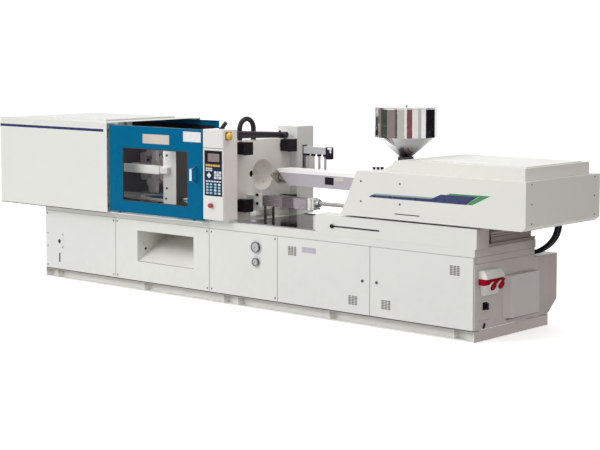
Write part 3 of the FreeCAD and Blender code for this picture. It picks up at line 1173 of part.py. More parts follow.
def hood():
    """Hood over the injection unit: a lower shell open underneath, and a raised upper cover."""
    a, b, c, d = HOOD_X
    z0, z1 = HOOD_BOTTOM, HOOD_TOP
    outline = [(a, z0), (b, z1), (d, z1), (d, z0 + HOOD_CHAMFER), (c, z0)]
    shell = plate_y(outline, -HOOD_HALF, HOOD_HALF)
    t = SHEET
    inner = [(a + t + 2, z0 - 10), (a + t + 2, z0), (b + t, z1 - t), (d - t, z1 - t),
             (d - t, z0 + HOOD_CHAMFER + 2), (c - 4, z0), (c - 4, z0 - 10)]
    shell = shell.cut(plate_y(inner, -HOOD_HALF + t, HOOD_HALF - t))
    # the slanted front is open round the barrel cover and down to the carriage
    shell = shell.cut(box((a - 10, b - 1), (-COVER_HALF - 12, COVER_HALF + 12), (z0 - 1, COVER_TOP + 12)))
    neck = box((HOUSING_X[0] + 20, HOUSING_X[1] - 20), (-NECK_HALF - 5, NECK_HALF + 5), (z1 - 20, z1 + 1))
    shell = shell.cut(neck)
    e, f, g = TOP_X
    rise = [(e, z1), (f, TOP_Z), (g, TOP_Z), (g, z1)]
    cover = plate_y(rise, -TOP_HALF, TOP_HALF)
    hollow = [(e + 8, z1 - 1), (f + 2, TOP_Z - t), (g - t, TOP_Z - t), (g - t, z1 - 1)]
    cover = cover.cut(plate_y(hollow, -TOP_HALF + t, TOP_HALF - t))
    ledge = box((f + 130, g - 30), (-TOP_HALF + 60, TOP_HALF - 60), (TOP_Z, TOP_Z + 6))
    save("hood", shell, fuse(cover, ledge))


def hopper():
    """Spun hopper, open inside, on a square neck with the shutter's slot through it."""
    z0, z1, z2 = HOPPER_Z
    r = HOPPER_THROAT_R
    w = HOPPER_WALL
    outline = [(r, z0), (HOPPER_R, z1), (HOPPER_R, z2 - 6), (HOPPER_R + 4, z2), (HOPPER_R - w, z2),
               (HOPPER_R - w, z1 + 1), (r - w, z0 + 1), (r - w, z0)]
    shell = turned_z(outline, HOPPER_AT)
    x = HOPPER_AT
    half = NECK_HALF - 8
    low, high = SHUTTER_Z
    neck = box((x - half, x + half), (-half, half), (low, z0 + 4))
    throat = rod_z(x, 0, r - w, low - 1, z0 + 5)
    slot = box((x - SHUTTER_HALF - FIT, x + SHUTTER_HALF + FIT), (-90, 90), (low + 1 - FIT, high + 1 + FIT))
    neck = neck.cut([throat, slot])
    save("hopper", fuse(shell, neck))


def hopper_lid():
    """Loose lid with a rolled edge and a knob."""
    z = HOPPER_Z[2]
    r = HOPPER_R
    outline = [(0, z), (r - 6, z), (r + 6, z), (r + 6, z + 4), (r, z + 7), (40, z + 11), (12, z + 12),
               (10, z + 16), (14, z + 21), (10, z + 25), (0, z + 26)]
    save("hopper_lid", turned_z(outline, HOPPER_AT))


def hopper_shutter():
    """Slide plate across the throat, shut as it stands, with a pull at its near end."""
    x = HOPPER_AT
    z0, z1 = SHUTTER_Z[0] + 1, SHUTTER_Z[1] + 1
    y = -SHUTTER_LONG
    plate = box((x - SHUTTER_HALF, x + SHUTTER_HALF), (y, SHUTTER_HALF), (z0, z1))
    pull = box((x - 20, x + 20), (y - 7, y + 1), (z0 - 10, z1 + 10))
    save("hopper_shutter", fuse(plate, pull))


def injection_drive():
    """Injection cylinders on the feed housing; the pusher with its rods and screw motor."""
    x1 = HOUSING_X[1]
    tubes = []
    for y in (-TIE_Y, TIE_Y):
        outline = [(x1, 0), (x1, TUBE_R), (x1 + TUBE_LONG, TUBE_R), (x1 + TUBE_LONG, PUSHER_ROD_R + FIT),
                   (x1 + 20, PUSHER_ROD_R + FIT), (x1 + 20, 0)]
        tubes.append(turned_x(outline, y))
    save("injection_cylinders", *tubes)
    a, b = PUSHER_X
    plate = box((a, b), (-TIE_Y - 55, TIE_Y + 55), (AXIS_Z - 95, AXIS_Z + 95))
    legs = [box((a, b), sorted((side * (TIE_Y - 20), side * (TIE_Y + 55))),
                (CARRIAGE_BED_Z[1] + FIT, AXIS_Z - 94)) for side in (-1, 1)]
    rods = [rod_x(y, AXIS_Z, PUSHER_ROD_R, x1 + 225, a + 1) for y in (-TIE_Y, TIE_Y)]
    motor = [rod_x(0, AXIS_Z, MOTOR_R, b - 1, b + 60),
             rod_x(0, AXIS_Z, MOTOR_R - 18, b + 50, b + MOTOR_LONG)]
    bore = rod_x(0, AXIS_Z, SCREW_R + FIT, a - 1, b - 19)
    save("injection_crosshead", fuse(plate, *(legs + rods + motor)).cut(bore))


# ---- hydraulic hoses --------------------------------------------------------------------------
def hose_wire(y):
    """Straight runs joined by tangent arcs through the chosen points."""
    points = [V(x, y, z) for x, z in HOSE_PATH]
    parts = []
    here = points[0]
    radii = []
    for before, corner, after in zip(points, points[1:], points[2:]):
        back = (before - corner)
        ahead = (after - corner)
        turn = math.pi - back.getAngle(ahead)
        reach = 0.45 * min(back.Length, ahead.Length)
        back.normalize()
        ahead.normalize()
        start = corner + back * reach
        end = corner + ahead * reach
        radius = reach / math.tan(turn / 2)
        radii.append(round(radius))
        bisector = (back + ahead).normalize()
        centre = corner + bisector * (radius / math.cos(turn / 2))
        middle = centre - bisector * radius
        parts.append(Part.LineSegment(here, start).toShape())
        parts.append(Part.Arc(start, middle, end).toShape())
        here = end
    parts.append(Part.LineSegment(here, points[-1]).toShape())
    return Part.Wire(parts), radii


def hydraulic_hoses():
    """Two hoses side by side, from under the hood to the tank's top."""
    hoses = []
    for y in HOSE_Y:
        wire, radii = hose_wire(y)
        top = V(HOSE_PATH[0][0], y, HOSE_PATH[0][1])
        section = Part.Wire([Part.Circle(top, V(0, 0, 1), HOSE_R).toShape()])
        tube = wire.makePipeShell([section], True, False)
        expected = math.pi * HOSE_R ** 2 * wire.Length
        ratio = tube.Volume / expected
        print("hose radii", radii, "length %.0f" % wire.Length, "volume ratio %.4f" % ratio)
        hoses.append(tube)
    save("hydraulic_hoses", *hoses)


# ---- build ------------------------------------------------------------------------------------
base_frame()
bed_panels()
panel_screws()
drop_chute()
pressure_gauges()
bed_plate()
way_cover()
carriage_rails()
end_panel()
rear_cabinet()
cabinet_door("cabinet_door_left", SEAMS[2] + DOOR_GAP, SEAMS[3] - DOOR_GAP, LATCH_AT[0])
cabinet_door("cabinet_door_right", SEAMS[3] + DOOR_GAP, BASE_X[1] - 12, LATCH_AT[1])
door_latch("door_latch_left", LATCH_AT[0], 1)
door_latch("door_latch_right", LATCH_AT[1], -1)
socket_housing()
socket_lid("socket_lid_left", SOCKETS_Y[0])
socket_lid("socket_lid_right", SOCKETS_Y[1])
main_switch_knob()
slot_knob()
clamp_guard()
front_gate()
gate_window()
gate_handle()
rear_gate()
control_box()
keypad()
emergency_stop()
alarm_lamp()
rear_post()
platen_conduits()
stationary_platen()
tie_bars()
tie_bar_caps()
toggle_links()
tail_platen()
clamp_cylinder()
crosshead()
moving_platen()
ejector()
safety_bar()
seat_cylinder()
water_manifold()
injection_carriage()
barrel()
nozzle()
screw()
barrel_cover()
hood()
hopper()
hopper_lid()
hopper_shutter()
injection_drive()
hydraulic_hoses()
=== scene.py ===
import bmesh
import bpy
from math import cos, hypot, pi, radians, sin
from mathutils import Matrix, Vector


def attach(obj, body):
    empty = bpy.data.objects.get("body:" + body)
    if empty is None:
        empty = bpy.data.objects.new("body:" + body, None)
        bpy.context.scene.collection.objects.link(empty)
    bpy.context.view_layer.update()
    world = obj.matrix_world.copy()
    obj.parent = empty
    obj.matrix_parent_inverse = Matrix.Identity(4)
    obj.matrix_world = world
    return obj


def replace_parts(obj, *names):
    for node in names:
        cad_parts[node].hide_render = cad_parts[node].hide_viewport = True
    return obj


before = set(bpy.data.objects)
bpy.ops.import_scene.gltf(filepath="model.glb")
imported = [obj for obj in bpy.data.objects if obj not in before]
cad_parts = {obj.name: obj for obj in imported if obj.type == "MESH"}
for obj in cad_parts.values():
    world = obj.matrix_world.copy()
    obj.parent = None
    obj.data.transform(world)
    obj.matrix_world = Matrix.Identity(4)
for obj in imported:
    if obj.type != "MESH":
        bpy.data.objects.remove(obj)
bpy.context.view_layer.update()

# ---- studio ----
# The machine stands on a plain pale floor under soft light, seen from the operator's side
# near the injection end, with a white sweep far behind it.
eye = bpy.data.cameras.new("eye")
eye.lens = 92.94
eye.sensor_width = 36.0
eye.shift_y = -0.10
eye.clip_end = 200.0


def stand(name, data):
    """Puts a new object of this name in the scene."""
    thing = bpy.data.objects.new(name, data)
    bpy.context.scene.collection.objects.link(thing)
    return thing


camera = stand("eye", eye)
camera.location = (8.243, -9.524, 2.176)
camera.rotation_euler = (radians(90 - 4.654), 0.0, radians(41.548))
bpy.context.scene.camera = camera

bpy.context.scene.view_settings.view_transform = "Standard"

# the studio is bright towards the clamp end, a little brighter overhead and dim to the right;
# tinted boards stand round it, which the polished steel mirrors as upright bands
sky = bpy.data.worlds.new("studio")
sky.use_nodes = True
walls = sky.node_tree
node, link = walls.nodes.new, walls.links.new
toward = node("ShaderNodeTexCoord").outputs["Generated"]
split = node("ShaderNodeSeparateXYZ")
link(toward, split.inputs["Vector"])


def set_inputs(shader, values):
    """Gives a shader node's own sockets their constant values."""
    for socket, value in values.items():
        shader.inputs[socket].default_value = value


def remap(tree, value, low, high, to_low, to_high):
    """Maps one run of numbers on another, held at both ends."""
    fit = tree.nodes.new("ShaderNodeMapRange")
    set_inputs(fit, {"From Min": low, "From Max": high, "To Min": to_low, "To Max": to_high})
    tree.links.new(value, fit.inputs["Value"])
    return fit.outputs["Result"]


facing = node("ShaderNodeVectorMath")
facing.operation = "DOT_PRODUCT"
facing.inputs[1].default_value = (-0.85, -0.15, 0.10)
link(toward, facing.inputs[0])
bright = node("ShaderNodeMath")
link(remap(walls, facing.outputs["Value"], -0.45, 0.26, 0.24, 1.0), bright.inputs[0])
link(remap(walls, split.outputs["Z"], 0.15, 0.95, 0.0, 0.14), bright.inputs[1])
round_about = node("ShaderNodeTexGradient")
round_about.gradient_type = "RADIAL"
link(toward, round_about.inputs["Vector"])
boards = node("ShaderNodeValToRGB")
boards.color_ramp.interpolation = "CONSTANT"
stops = ((0.0, (0.30, 0.22, 0.21)), (0.070, (0.07, 0.09, 0.07)), (0.150, (0.34, 0.27, 0.25)),
         (0.240, (0.14, 0.12, 0.11)), (0.265, (0.62, 0.60, 0.52)), (0.337, (1.0, 0.97, 0.95)),
         (0.363, (0.26, 0.09, 0.09)), (0.415, (0.95, 0.92, 0.90)), (0.480, (0.60, 0.57, 0.55)),
         (0.512, (1, 1, 1)), (0.567, (0.012, 0.010, 0.014)), (0.715, (1, 1, 1)),
         (0.940, (0.30, 0.22, 0.21)))
boards.color_ramp.elements.remove(boards.color_ramp.elements[1])
for i, (place, colour) in enumerate(stops):
    stop = boards.color_ramp.elements.new(place) if i else boards.color_ramp.elements[0]
    stop.position = place
    stop.color = (*colour, 1.0)
link(round_about.outputs["Fac"], boards.inputs["Fac"])
high = node("ShaderNodeMath")
high.operation = "ABSOLUTE"
link(split.outputs["Z"], high.inputs[0])
off_boards = remap(walls, high.outputs["Value"], 0.14, 0.17, 0.0, 1.0)
above = node("ShaderNodeMix")
above.data_type = "RGBA"
link(off_boards, above.inputs["Factor"])
level = node("ShaderNodeMix")
link(off_boards, level.inputs["Factor"])
level.inputs["A"].default_value = 1.0
link(bright.outputs["Value"], level.inputs["B"])
backing = walls.nodes["Background"].inputs
link(level.outputs["Result"], backing["Strength"])
link(boards.outputs["Color"], above.inputs["A"])
warm = node("ShaderNodeMix")
warm.data_type = "RGBA"
link(remap(walls, facing.outputs["Value"], -0.5, 0.1, 0.0, 1.0), warm.inputs["Factor"])
set_inputs(warm, {"A": (1.0, 0.90, 0.86, 1.0), "B": (1.0, 1.0, 1.0, 1.0)})
link(warm.outputs["Result"], above.inputs["B"])
link(above.outputs["Result"], backing["Color"])
bpy.context.scene.world = sky


def soft_light(name, place, aim, size, watts):
    """A square soft box that points from its place at a spot on the machine."""
    lamp = bpy.data.lights.new(name, "AREA")
    lamp.shape = "SQUARE"
    lamp.size = size
    lamp.energy = watts
    box = stand(name, lamp)
    box.location = place
    box.rotation_euler = (Vector(aim) - Vector(place)).to_track_quat("-Z", "Y").to_euler()


soft_light("front_left", (-4.0, -8.0, 6.0), (-0.5, 0.0, 0.8), 4.0, 290.0)
soft_light("overhead", (0.0, -0.1, 2.9), (0.0, 0.0, 1.0), 0.8, 10.0)
soft_light("end", (6.5, -2.2, 4.0), (1.9, 0.0, 0.6), 2.0, 46.0)
soft_light("mould_lamp", (-1.55, -0.49, 1.31), (-1.60, -0.44, 0.90), 0.09, 0.7)


def backdrop(name, corners, sides, colour, rough, glow):
    """A plain glowing sheet of the studio."""
    made = bpy.data.materials.new(name)
    made.use_nodes = True
    set_inputs(made.node_tree.nodes["Principled BSDF"],
               {"Base Color": (colour, colour, colour, 1.0), "Roughness": rough,
                "Emission Color": (1.0, 1.0, 1.0, 1.0), "Emission Strength": glow})
    mesh = bpy.data.meshes.new(name)
    mesh.from_pydata(corners, [], sides)
    mesh.materials.append(made)
    sheet = stand(name, mesh)
    sheet.visible_diffuse = False
    return sheet


FLOOR_HALF, FLOOR_Z = 13.0, -0.001
corners = [(x * FLOOR_HALF, y * FLOOR_HALF, FLOOR_Z) for x, y in ((-1, -1), (1, -1), (1, 1), (-1, 1))]
floor = backdrop("floor", corners, [(0, 1, 2, 3)], 0.93, 0.7, 0.50)

# the sweep is seen by the camera alone, so that the polished steel doesn't mirror it
FAR, LOW, HIGH, ROUND = 60.0, -0.01, 30.0, 48
ring = [(FAR * cos(2 * pi * i / ROUND), FAR * sin(2 * pi * i / ROUND)) for i in range(ROUND)]
corners = [(x, y, z) for z in (LOW, HIGH) for x, y in ring]
sides = [(i, (i + 1) % ROUND, ROUND + (i + 1) % ROUND, ROUND + i) for i in range(ROUND)]
sweep = backdrop("sweep", corners, [tuple(range(ROUND))] + sides, 0.0, 0.5, 1.0)
sweep.visible_glossy = sweep.visible_transmission = sweep.visible_shadow = False

# ---- hydraulic hoses ----
# Two black pressure hoses, side by side, hang from the fittings under the hood
# and run into the block on the far cabinet; each end has a crimped steel sleeve.
HOSE_ROUTE = ((2.070, 0.836), (2.070, 0.775), (2.045, 0.700), (1.990, 0.636),
              (1.920, 0.590), (1.860, 0.566), (1.800, 0.566))
HOSE_SIDES = (0.335, 0.375)
HOSE_RADIUS = 0.017


def finish(name, light, dark, rough=(0.3, 0.42), metal=0.0, cloud=1.6, grain=350.0, depth=0.0003,
           stretch=(1.0, 1.0, 1.0), edge=0.0, coat=0.0, grime=0.0, grime_top=0.5, sheen=0.5, fades=()):
    """A surface with slow changes of tone, uneven gloss, a fine grain and, low down, some grime;
    each fade (axis, from, to, colour) turns it to another colour along an axis."""
    made = bpy.data.materials.new(name)
    made.use_nodes = True
    tree = made.node_tree
    add, join = tree.nodes.new, tree.links.new
    base = tree.nodes["Principled BSDF"]
    set_inputs(base, {"Metallic": metal, "Coat Weight": coat, "Specular IOR Level": sheen})
    where = add("ShaderNodeTexCoord")
    scale = add("ShaderNodeMapping")
    scale.inputs["Scale"].default_value = stretch
    join(where.outputs["Object"], scale.inputs["Vector"])

    def noise(size, detail):
        cloudy = add("ShaderNodeTexNoise")
        set_inputs(cloudy, {"Scale": size, "Detail": detail})
        join(scale.outputs["Vector"], cloudy.inputs["Vector"])
        return cloudy.outputs["Fac"]

    def along(axis):
        split = add("ShaderNodeSeparateXYZ")
        join(where.outputs["Object"], split.inputs["Vector"])
        return split.outputs[axis]

    def blend(amount, first, second):
        mix = add("ShaderNodeMix")
        mix.data_type = "RGBA"
        join(amount, mix.inputs["Factor"])
        if isinstance(first, tuple):
            mix.inputs["A"].default_value = (*first, 1.0)
        else:
            join(first, mix.inputs["A"])
        mix.inputs["B"].default_value = (*second, 1.0)
        return mix.outputs["Result"]

    tone = blend(remap(tree, noise(cloud, 4.0), 0.35, 0.68, 0.0, 1.0), light, dark)
    if grime:
        low = remap(tree, along("Z"), 0.0, grime_top, grime, 0.0)
        patchy = add("ShaderNodeMath")
        patchy.operation = "MULTIPLY"
        join(low, patchy.inputs[0])
        join(remap(tree, noise(14.0, 6.0), 0.42, 0.7, 0.0, 1.0), patchy.inputs[1])
        tone = blend(patchy.outputs[0], tone, (0.36, 0.33, 0.29))
    for axis, start, end, other in fades:
        tone = blend(remap(tree, along(axis), start, end, 0.0, 1.0), tone, other)
    join(tone, base.inputs["Base Color"])
    join(remap(tree, noise(cloud * 7.0, 3.0), 0.3, 0.7, rough[0], rough[1]), base.inputs["Roughness"])
    bump = add("ShaderNodeBump")
    set_inputs(bump, {"Strength": 0.6, "Distance": depth})
    join(noise(grain, 2.0), bump.inputs["Height"])
    if edge:
        soft = add("ShaderNodeBevel")
        soft.samples = 4
        soft.inputs["Radius"].default_value = edge
        join(soft.outputs["Normal"], bump.inputs["Normal"])
    join(bump.outputs["Normal"], base.inputs["Normal"])
    return made


def turned(work, axis, centre, outline, steps=32, capped=True):
    """Adds a shape turned about an axis line: the outline is (place along the axis, radius),
    and capped closes both of its ends."""
    if capped:
        outline = [(outline[0][0], 0.0), *outline, (outline[-1][0], 0.0)]
    along, across, up = {"x": (0, 1, 2), "y": (1, 0, 2), "z": (2, 0, 1)}[axis]
    rings = []
    for place, radius in outline:
        ring = []
        for i in range(1 if radius < 1e-6 else steps):
            point = [0.0, 0.0, 0.0]
            point[along] = place
            point[across] = centre[0] + radius * cos(2 * pi * i / steps)
            point[up] = centre[1] + radius * sin(2 * pi * i / steps)
            ring.append(work.verts.new(point))
        rings.append(ring)
    for a, b in zip(rings, rings[1:]):
        if len(a) == 1 and len(b) == 1:
            continue
        for i in range(steps):
            j = (i + 1) % steps
            if len(a) == 1:
                work.faces.new((a[0], b[i], b[j]))
            elif len(b) == 1:
                work.faces.new((a[i], a[j], b[0]))
            else:
                work.faces.new((a[i], a[j], b[j], b[i]))


def make(name, work, made, body="machine", rounded=0.0, sharp=0.6):
    """Turns the worked shape into a piece that rides on a body, its sharp edges kept or eased."""
    bmesh.ops.remove_doubles(work, verts=work.verts, dist=1e-6)
    bmesh.ops.recalc_face_normals(work, faces=work.faces)
    if rounded:
        hard = [e for e in work.edges if len(e.link_faces) == 2 and e.calc_face_angle(0.0) > sharp]
        bmesh.ops.bevel(work, geom=hard, offset=rounded, segments=2, affect="EDGES", clamp_overlap=True)
    for face in work.faces:
        face.smooth = True
    for e in work.edges:
        e.smooth = len(e.link_faces) == 2 and e.calc_face_angle(0.0) < sharp
    mesh = bpy.data.meshes.new(name)
    work.to_mesh(mesh)
    work.free()
    mesh.materials.append(made)
    piece = stand(name, mesh)
    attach(piece, body)
    return piece


hose_rubber = finish("hose_rubber", (0.004, 0.004, 0.006), (0.010, 0.009, 0.013), rough=(0.35, 0.5),
                     cloud=30.0, grain=900.0, depth=0.0008, sheen=0.10)
crimped_steel = finish("crimped_steel", (0.55, 0.55, 0.56), (0.35, 0.35, 0.37), rough=(0.25, 0.4),
                       metal=1.0, cloud=20.0)
top, end = HOSE_ROUTE[0], HOSE_ROUTE[-1]
TOP_SLEEVE = ((0.002, 0.006), (0.012, 0.006), (0.014, 0.003), (0.044, 0.003), (0.047, 0.001))
END_SLEEVE = ((0.0, 0.005), (0.010, 0.005), (0.012, 0.003), (0.038, 0.003), (0.040, 0.001))
for i, side in enumerate(HOSE_SIDES):
    work = bmesh.new()
    turned(work, "z", (top[0], side), [(top[1] - along, HOSE_RADIUS + thick) for along, thick in TOP_SLEEVE])
    turned(work, "x", (side, end[1]), [(end[0] + along, HOSE_RADIUS + thick) for along, thick in END_SLEEVE])
    sleeve = make("hose_sleeves_%d" % i, work, crimped_steel)
    route = bpy.data.curves.new("hose_%d" % i, "CURVE")
    route.dimensions = "3D"
    route.bevel_depth = HOSE_RADIUS
    route.bevel_resolution = 6
    route.resolution_u = 12
    line = route.splines.new("NURBS")
    line.points.add(len(HOSE_ROUTE) - 1)
    for point, (x, z) in zip(line.points, HOSE_ROUTE):
        point.co = (x, side, z, 1.0)
    line.order_u = 3
    line.use_endpoint_u = True
    route.materials.append(hose_rubber)
    hose = stand("hose_%d" % i, route)
    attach(hose, "machine")
    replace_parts(hose, "hydraulic_hoses")

# ---- bed ----
# The welded bed: plinth channels, columns and deck in one, sprayed in cream white enamel
# that shows a slight orange peel and a little grime near the floor. Its fades are painted
# light and shade: a shadow over the plinth, a lighter plinth face and a dimmer end face.


def dress(made, *nodes):
    """Gives a finish to solids whose shape is already right."""
    for node in nodes:
        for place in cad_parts[node].material_slots:
            place.material = made


# painted light and shade: a shadow band over the plinth, a lighter plinth face, a dimmer end face
bed_enamel = finish("bed_enamel", (0.81, 0.83, 0.79), (0.77, 0.79, 0.755), grain=260.0, edge=0.003,
                    grime=0.02, fades=(("Z", 0.092, 0.082, (0.46, 0.45, 0.43)),
                                       ("Z", 0.078, 0.030, (0.95, 0.96, 0.93)),
                                       ("X", 1.8975, 1.8995, (0.66, 0.61, 0.59))))
dress(bed_enamel, "base_frame")

# ---- bed panels, way covers and their screws ----
# Folded steel sheets in the same enamel, hung on the bed by dark socket screws, with two
# openings in the small cover filled by black pieces as painted shade, a dark strip at the
# foot painted as the shadow in the gap, and a lilac label plate. The way covers' end faces
# are painted a darker warm grey as shade.
SHEET_TONES = ((0.82, 0.84, 0.80), (0.785, 0.805, 0.77))
SHEET_LOOK = dict(cloud=0.9, grain=240.0, edge=0.002)
panel_enamel = finish("panel_enamel", *SHEET_TONES, grime=0.07, **SHEET_LOOK)
dress(panel_enamel, "bed_panels", "cabinet_door_left", "cabinet_door_right")
# painted shade: the way covers' end faces turn a darker warm grey
cover_enamel = finish("cover_enamel", *SHEET_TONES, fades=(("X", 1.913, 1.9145, (0.68, 0.61, 0.60)),),
                      **SHEET_LOOK)
dress(cover_enamel, "way_cover")
dark_screw = finish("dark_screw", (0.05, 0.05, 0.055), (0.10, 0.10, 0.11), rough=(0.3, 0.5), metal=1.0,
                    cloud=60.0)
FRONT = -0.485
SEAM_X = (-2.890, -1.933, -0.772, -0.008)


def screw_head(work, axis, centre, face, out, radius=0.007, high=0.003):
    """A domed socket head on a face: out is +1 or -1, the way it stands off the face."""
    h = high * out
    turned(work, axis, centre,
           [(face, radius), (face + h * 0.55, radius), (face + h, radius * 0.78), (face + h, radius * 0.46),
            (face + h * 0.45, radius * 0.42)], steps=18)


work = bmesh.new()
for a, b in zip(SEAM_X, SEAM_X[1:]):
    for x in (a + 0.026, b - 0.026):
        for z in (0.111, 0.586):
            screw_head(work, "y", (x, z), FRONT, -1)
for x in (-2.858, -2.653):
    for z in (0.287, 0.403):
        screw_head(work, "y", (x, z), FRONT - 0.002, -1, 0.0055)
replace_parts(make("panel_screw_heads", work, dark_screw), "panel_screws")


def slab(work, low, high):
    """Adds a block between two corners."""
    made = bmesh.ops.create_cube(work, size=1.0)["verts"]
    for v in made:
        for i in range(3):
            v.co[i] = (low[i] + high[i]) / 2 + v.co[i] * (high[i] - low[i])


def blocks(name, made, slot, *corners, body="machine", rounded=0.0):
    """A piece that is one or more blocks, each between two corners."""
    work = bmesh.new()
    for low, high in corners:
        slab(work, low, high)
    return make(name, work, made, body, rounded)


# black pieces in the small cover's two openings, painted shade of the holes' insides
hole_shade_black = finish("hole_shade_black", (0.008, 0.008, 0.009), (0.014, 0.014, 0.016), rough=(0.6, 0.8),
                      cloud=30.0)
work = bmesh.new()
turned(work, "y", (-2.696, 0.338), [(FRONT - 0.0015, 0.030), (FRONT + 0.004, 0.0305)], steps=28)
slab(work, (-2.7035, FRONT - 0.0015, 0.148), (-2.6885, FRONT + 0.004, 0.232))
make("access_hole_shades", work, hole_shade_black)
# a dark strip painted as the shadow in the gap at the panels' foot
gap_shade_brown = finish("gap_shade_brown", (0.06, 0.05, 0.045), (0.09, 0.075, 0.07), rough=(0.6, 0.75), cloud=30.0)
blocks("panel_foot_gap_shadow", gap_shade_brown, "hose_rubber",
       ((-2.886, FRONT - 0.0006, 0.0775), (1.8965, FRONT + 0.002, 0.0846)))
plate_lilac = finish("plate_lilac", (0.52, 0.50, 0.60), (0.47, 0.45, 0.55), rough=(0.25, 0.35), cloud=8.0)
blocks("door_label_plate", plate_lilac, "cover_grey",
       ((0.252, FRONT - 0.0012, 0.507), (0.397, FRONT, 0.549)), body="left_door", rounded=0.0005)

# ---- chute ----
# A tray of folded sheet in the second bay, screwed behind the opening of its panel;
# its finish darkens towards the back, where little light falls.
chute_enamel = finish("chute_enamel", (0.93, 0.93, 0.90), (0.88, 0.88, 0.85), rough=(0.35, 0.5), cloud=2.5,
                      grain=200.0, edge=0.002, fades=(("Y", -0.38, 0.0, (0.26, 0.23, 0.19)),))
dress(chute_enamel, "drop_chute")
CHEEK = -1.650
work = bmesh.new()
turned(work, "x", (-0.389, 0.355), [(CHEEK, 0.011), (CHEEK + 0.004, 0.011), (CHEEK + 0.006, 0.009)], steps=16)
make("chute_cheek_bolt", work, dark_screw)
work = bmesh.new()
turned(work, "x", (-0.410, 0.405), [(CHEEK - 0.002, 0.0064), (CHEEK + 0.0014, 0.0064)], steps=16)
make("chute_cheek_plug", work, chute_enamel)
vent_grey = finish("vent_grey", (0.30, 0.275, 0.255), (0.24, 0.22, 0.205), rough=(0.35, 0.5), cloud=40.0)
blocks("chute_lip_seam", vent_grey, "cover_grey",
       ((CHEEK, FRONT - 0.0008, 0.254), (-0.959, FRONT + 0.003, 0.258)))

# ---- pressure gauges ----
# Two dial gauges let into the third panel: a spun dark case with a rolled rim,
# a pale dial with printed ticks, a black needle and a clear glass.
chrome = finish("chrome", (0.75, 0.75, 0.77), (0.60, 0.60, 0.62), rough=(0.06, 0.16), metal=1.0, cloud=12.0,
                grain=500.0, depth=0.0001)
dial_white = finish("dial_white", (0.62, 0.62, 0.70), (0.56, 0.56, 0.64), rough=(0.4, 0.5), cloud=25.0)
ink = finish("ink", (0.015, 0.015, 0.02), (0.03, 0.03, 0.035), rough=(0.4, 0.5), cloud=40.0)


def clear(name, tint, alpha, sheen=0.3, rough=0.04):
    """A see-through finish, a little uneven in its gloss."""
    made = finish(name, tint, tuple(c * 0.96 for c in tint), rough=(rough, rough + 0.05), cloud=3.0,
                  grain=120.0, depth=0.00005, sheen=sheen)
    made.node_tree.nodes["Principled BSDF"].inputs["Alpha"].default_value = alpha
    return made


gauge_glass = clear("gauge_glass", (0.9, 0.93, 0.95), 0.12)
GAUGES = ((-0.237, 0.504, 0.045), (-0.237, 0.383, 0.035))
cases, dials, marks, glasses = bmesh.new(), bmesh.new(), bmesh.new(), bmesh.new()


def prism(work, near, far):
    """Adds the solid between two outlines that have the same number of corners."""
    front = [work.verts.new(p) for p in near]
    back = [work.verts.new(p) for p in far]
    work.faces.new(front)
    work.faces.new(back[::-1])
    for i in range(len(front)):
        j = (i + 1) % len(front)
        work.faces.new((front[i], front[j], back[j], back[i]))


def hand(work, x, z, y, turn, start, end, half):
    """A flat mark on a dial, from start to end radius at an angle from the top."""
    along = Vector((sin(turn), 0.0, cos(turn)))
    side = Vector((cos(turn), 0.0, -sin(turn))) * half
    middle = Vector((x, y, z))
    points = [middle + along * start - side, middle + along * end - side * 0.6,
              middle + along * end + side * 0.6, middle + along * start + side]
    prism(work, points, [p + Vector((0.0, 0.0003, 0.0)) for p in points])


for x, z, r in GAUGES:
    out = FRONT - 0.022
    turned(cases, "y", (x, z),
           [(FRONT, r - 0.003), (FRONT - 0.004, r - 0.003), (FRONT - 0.014, r - 0.002), (out + 0.003, r),
            (out, r - 0.002), (out, r - 0.006), (out + 0.006, r - 0.0075)], steps=48)
    turned(dials, "y", (x, z),
           [(out + 0.006, 0.0), (out + 0.0055, r - 0.0085), (out + 0.005, r - 0.0085), (out + 0.005, 0.0)],
           steps=48, capped=False)
    for i in range(21):
        long, half = (0.006, 0.0007) if i % 5 == 0 else (0.0035, 0.0004)
        hand(marks, x, z, out + 0.0045, radians(-135 + 13.5 * i), r - 0.010 - long, r - 0.010, half)
    hand(marks, x, z, out + 0.0036, radians(-118), -0.008, r - 0.014, 0.0011)
    turned(marks, "y", (x, z), [(out + 0.0045, 0.003), (out + 0.003, 0.003)], steps=16)
    turned(glasses, "y", (x, z), [(out + 0.0025, r - 0.0075), (out + 0.0012, r - 0.0075)], steps=48)
gauge_rim = finish("gauge_rim", (0.20, 0.20, 0.21), (0.13, 0.13, 0.14), rough=(0.15, 0.25), metal=1.0,
                   cloud=12.0, grain=500.0, depth=0.0001)
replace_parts(make("gauge_cases", cases, gauge_rim), "pressure_gauges")
make("gauge_dials", dials, dial_white)
make("gauge_marks", marks, ink)
make("gauge_glasses", glasses, gauge_glass)

# ---- polished plate ----
# Stainless sheet laid on the deck under the nozzle, its long edges turned up;
# it mirrors the platen and the covers above it.
polished = finish("polished", (0.36, 0.34, 0.38), (0.28, 0.26, 0.30), rough=(0.06, 0.14), metal=1.0,
                  cloud=1.2, grain=90.0, depth=0.0002, stretch=(0.25, 2.5, 1.0), edge=0.001)
dress(polished, "bed_plate")

# ---- carriage rails ----
# A machined base plate with two ground tee rails, bolted on the bed and painted a dark
# brown as the shade under the hood.
# painted shade: the rails' dark brown stands for the hood's shade over them
rail_shade_brown = finish("rail_shade_brown", (0.36, 0.315, 0.295), (0.29, 0.255, 0.24), rough=(0.35, 0.5), cloud=3.0,
                    grain=140.0, depth=0.0002, edge=0.0015)
dress(rail_shade_brown, "carriage_rails")
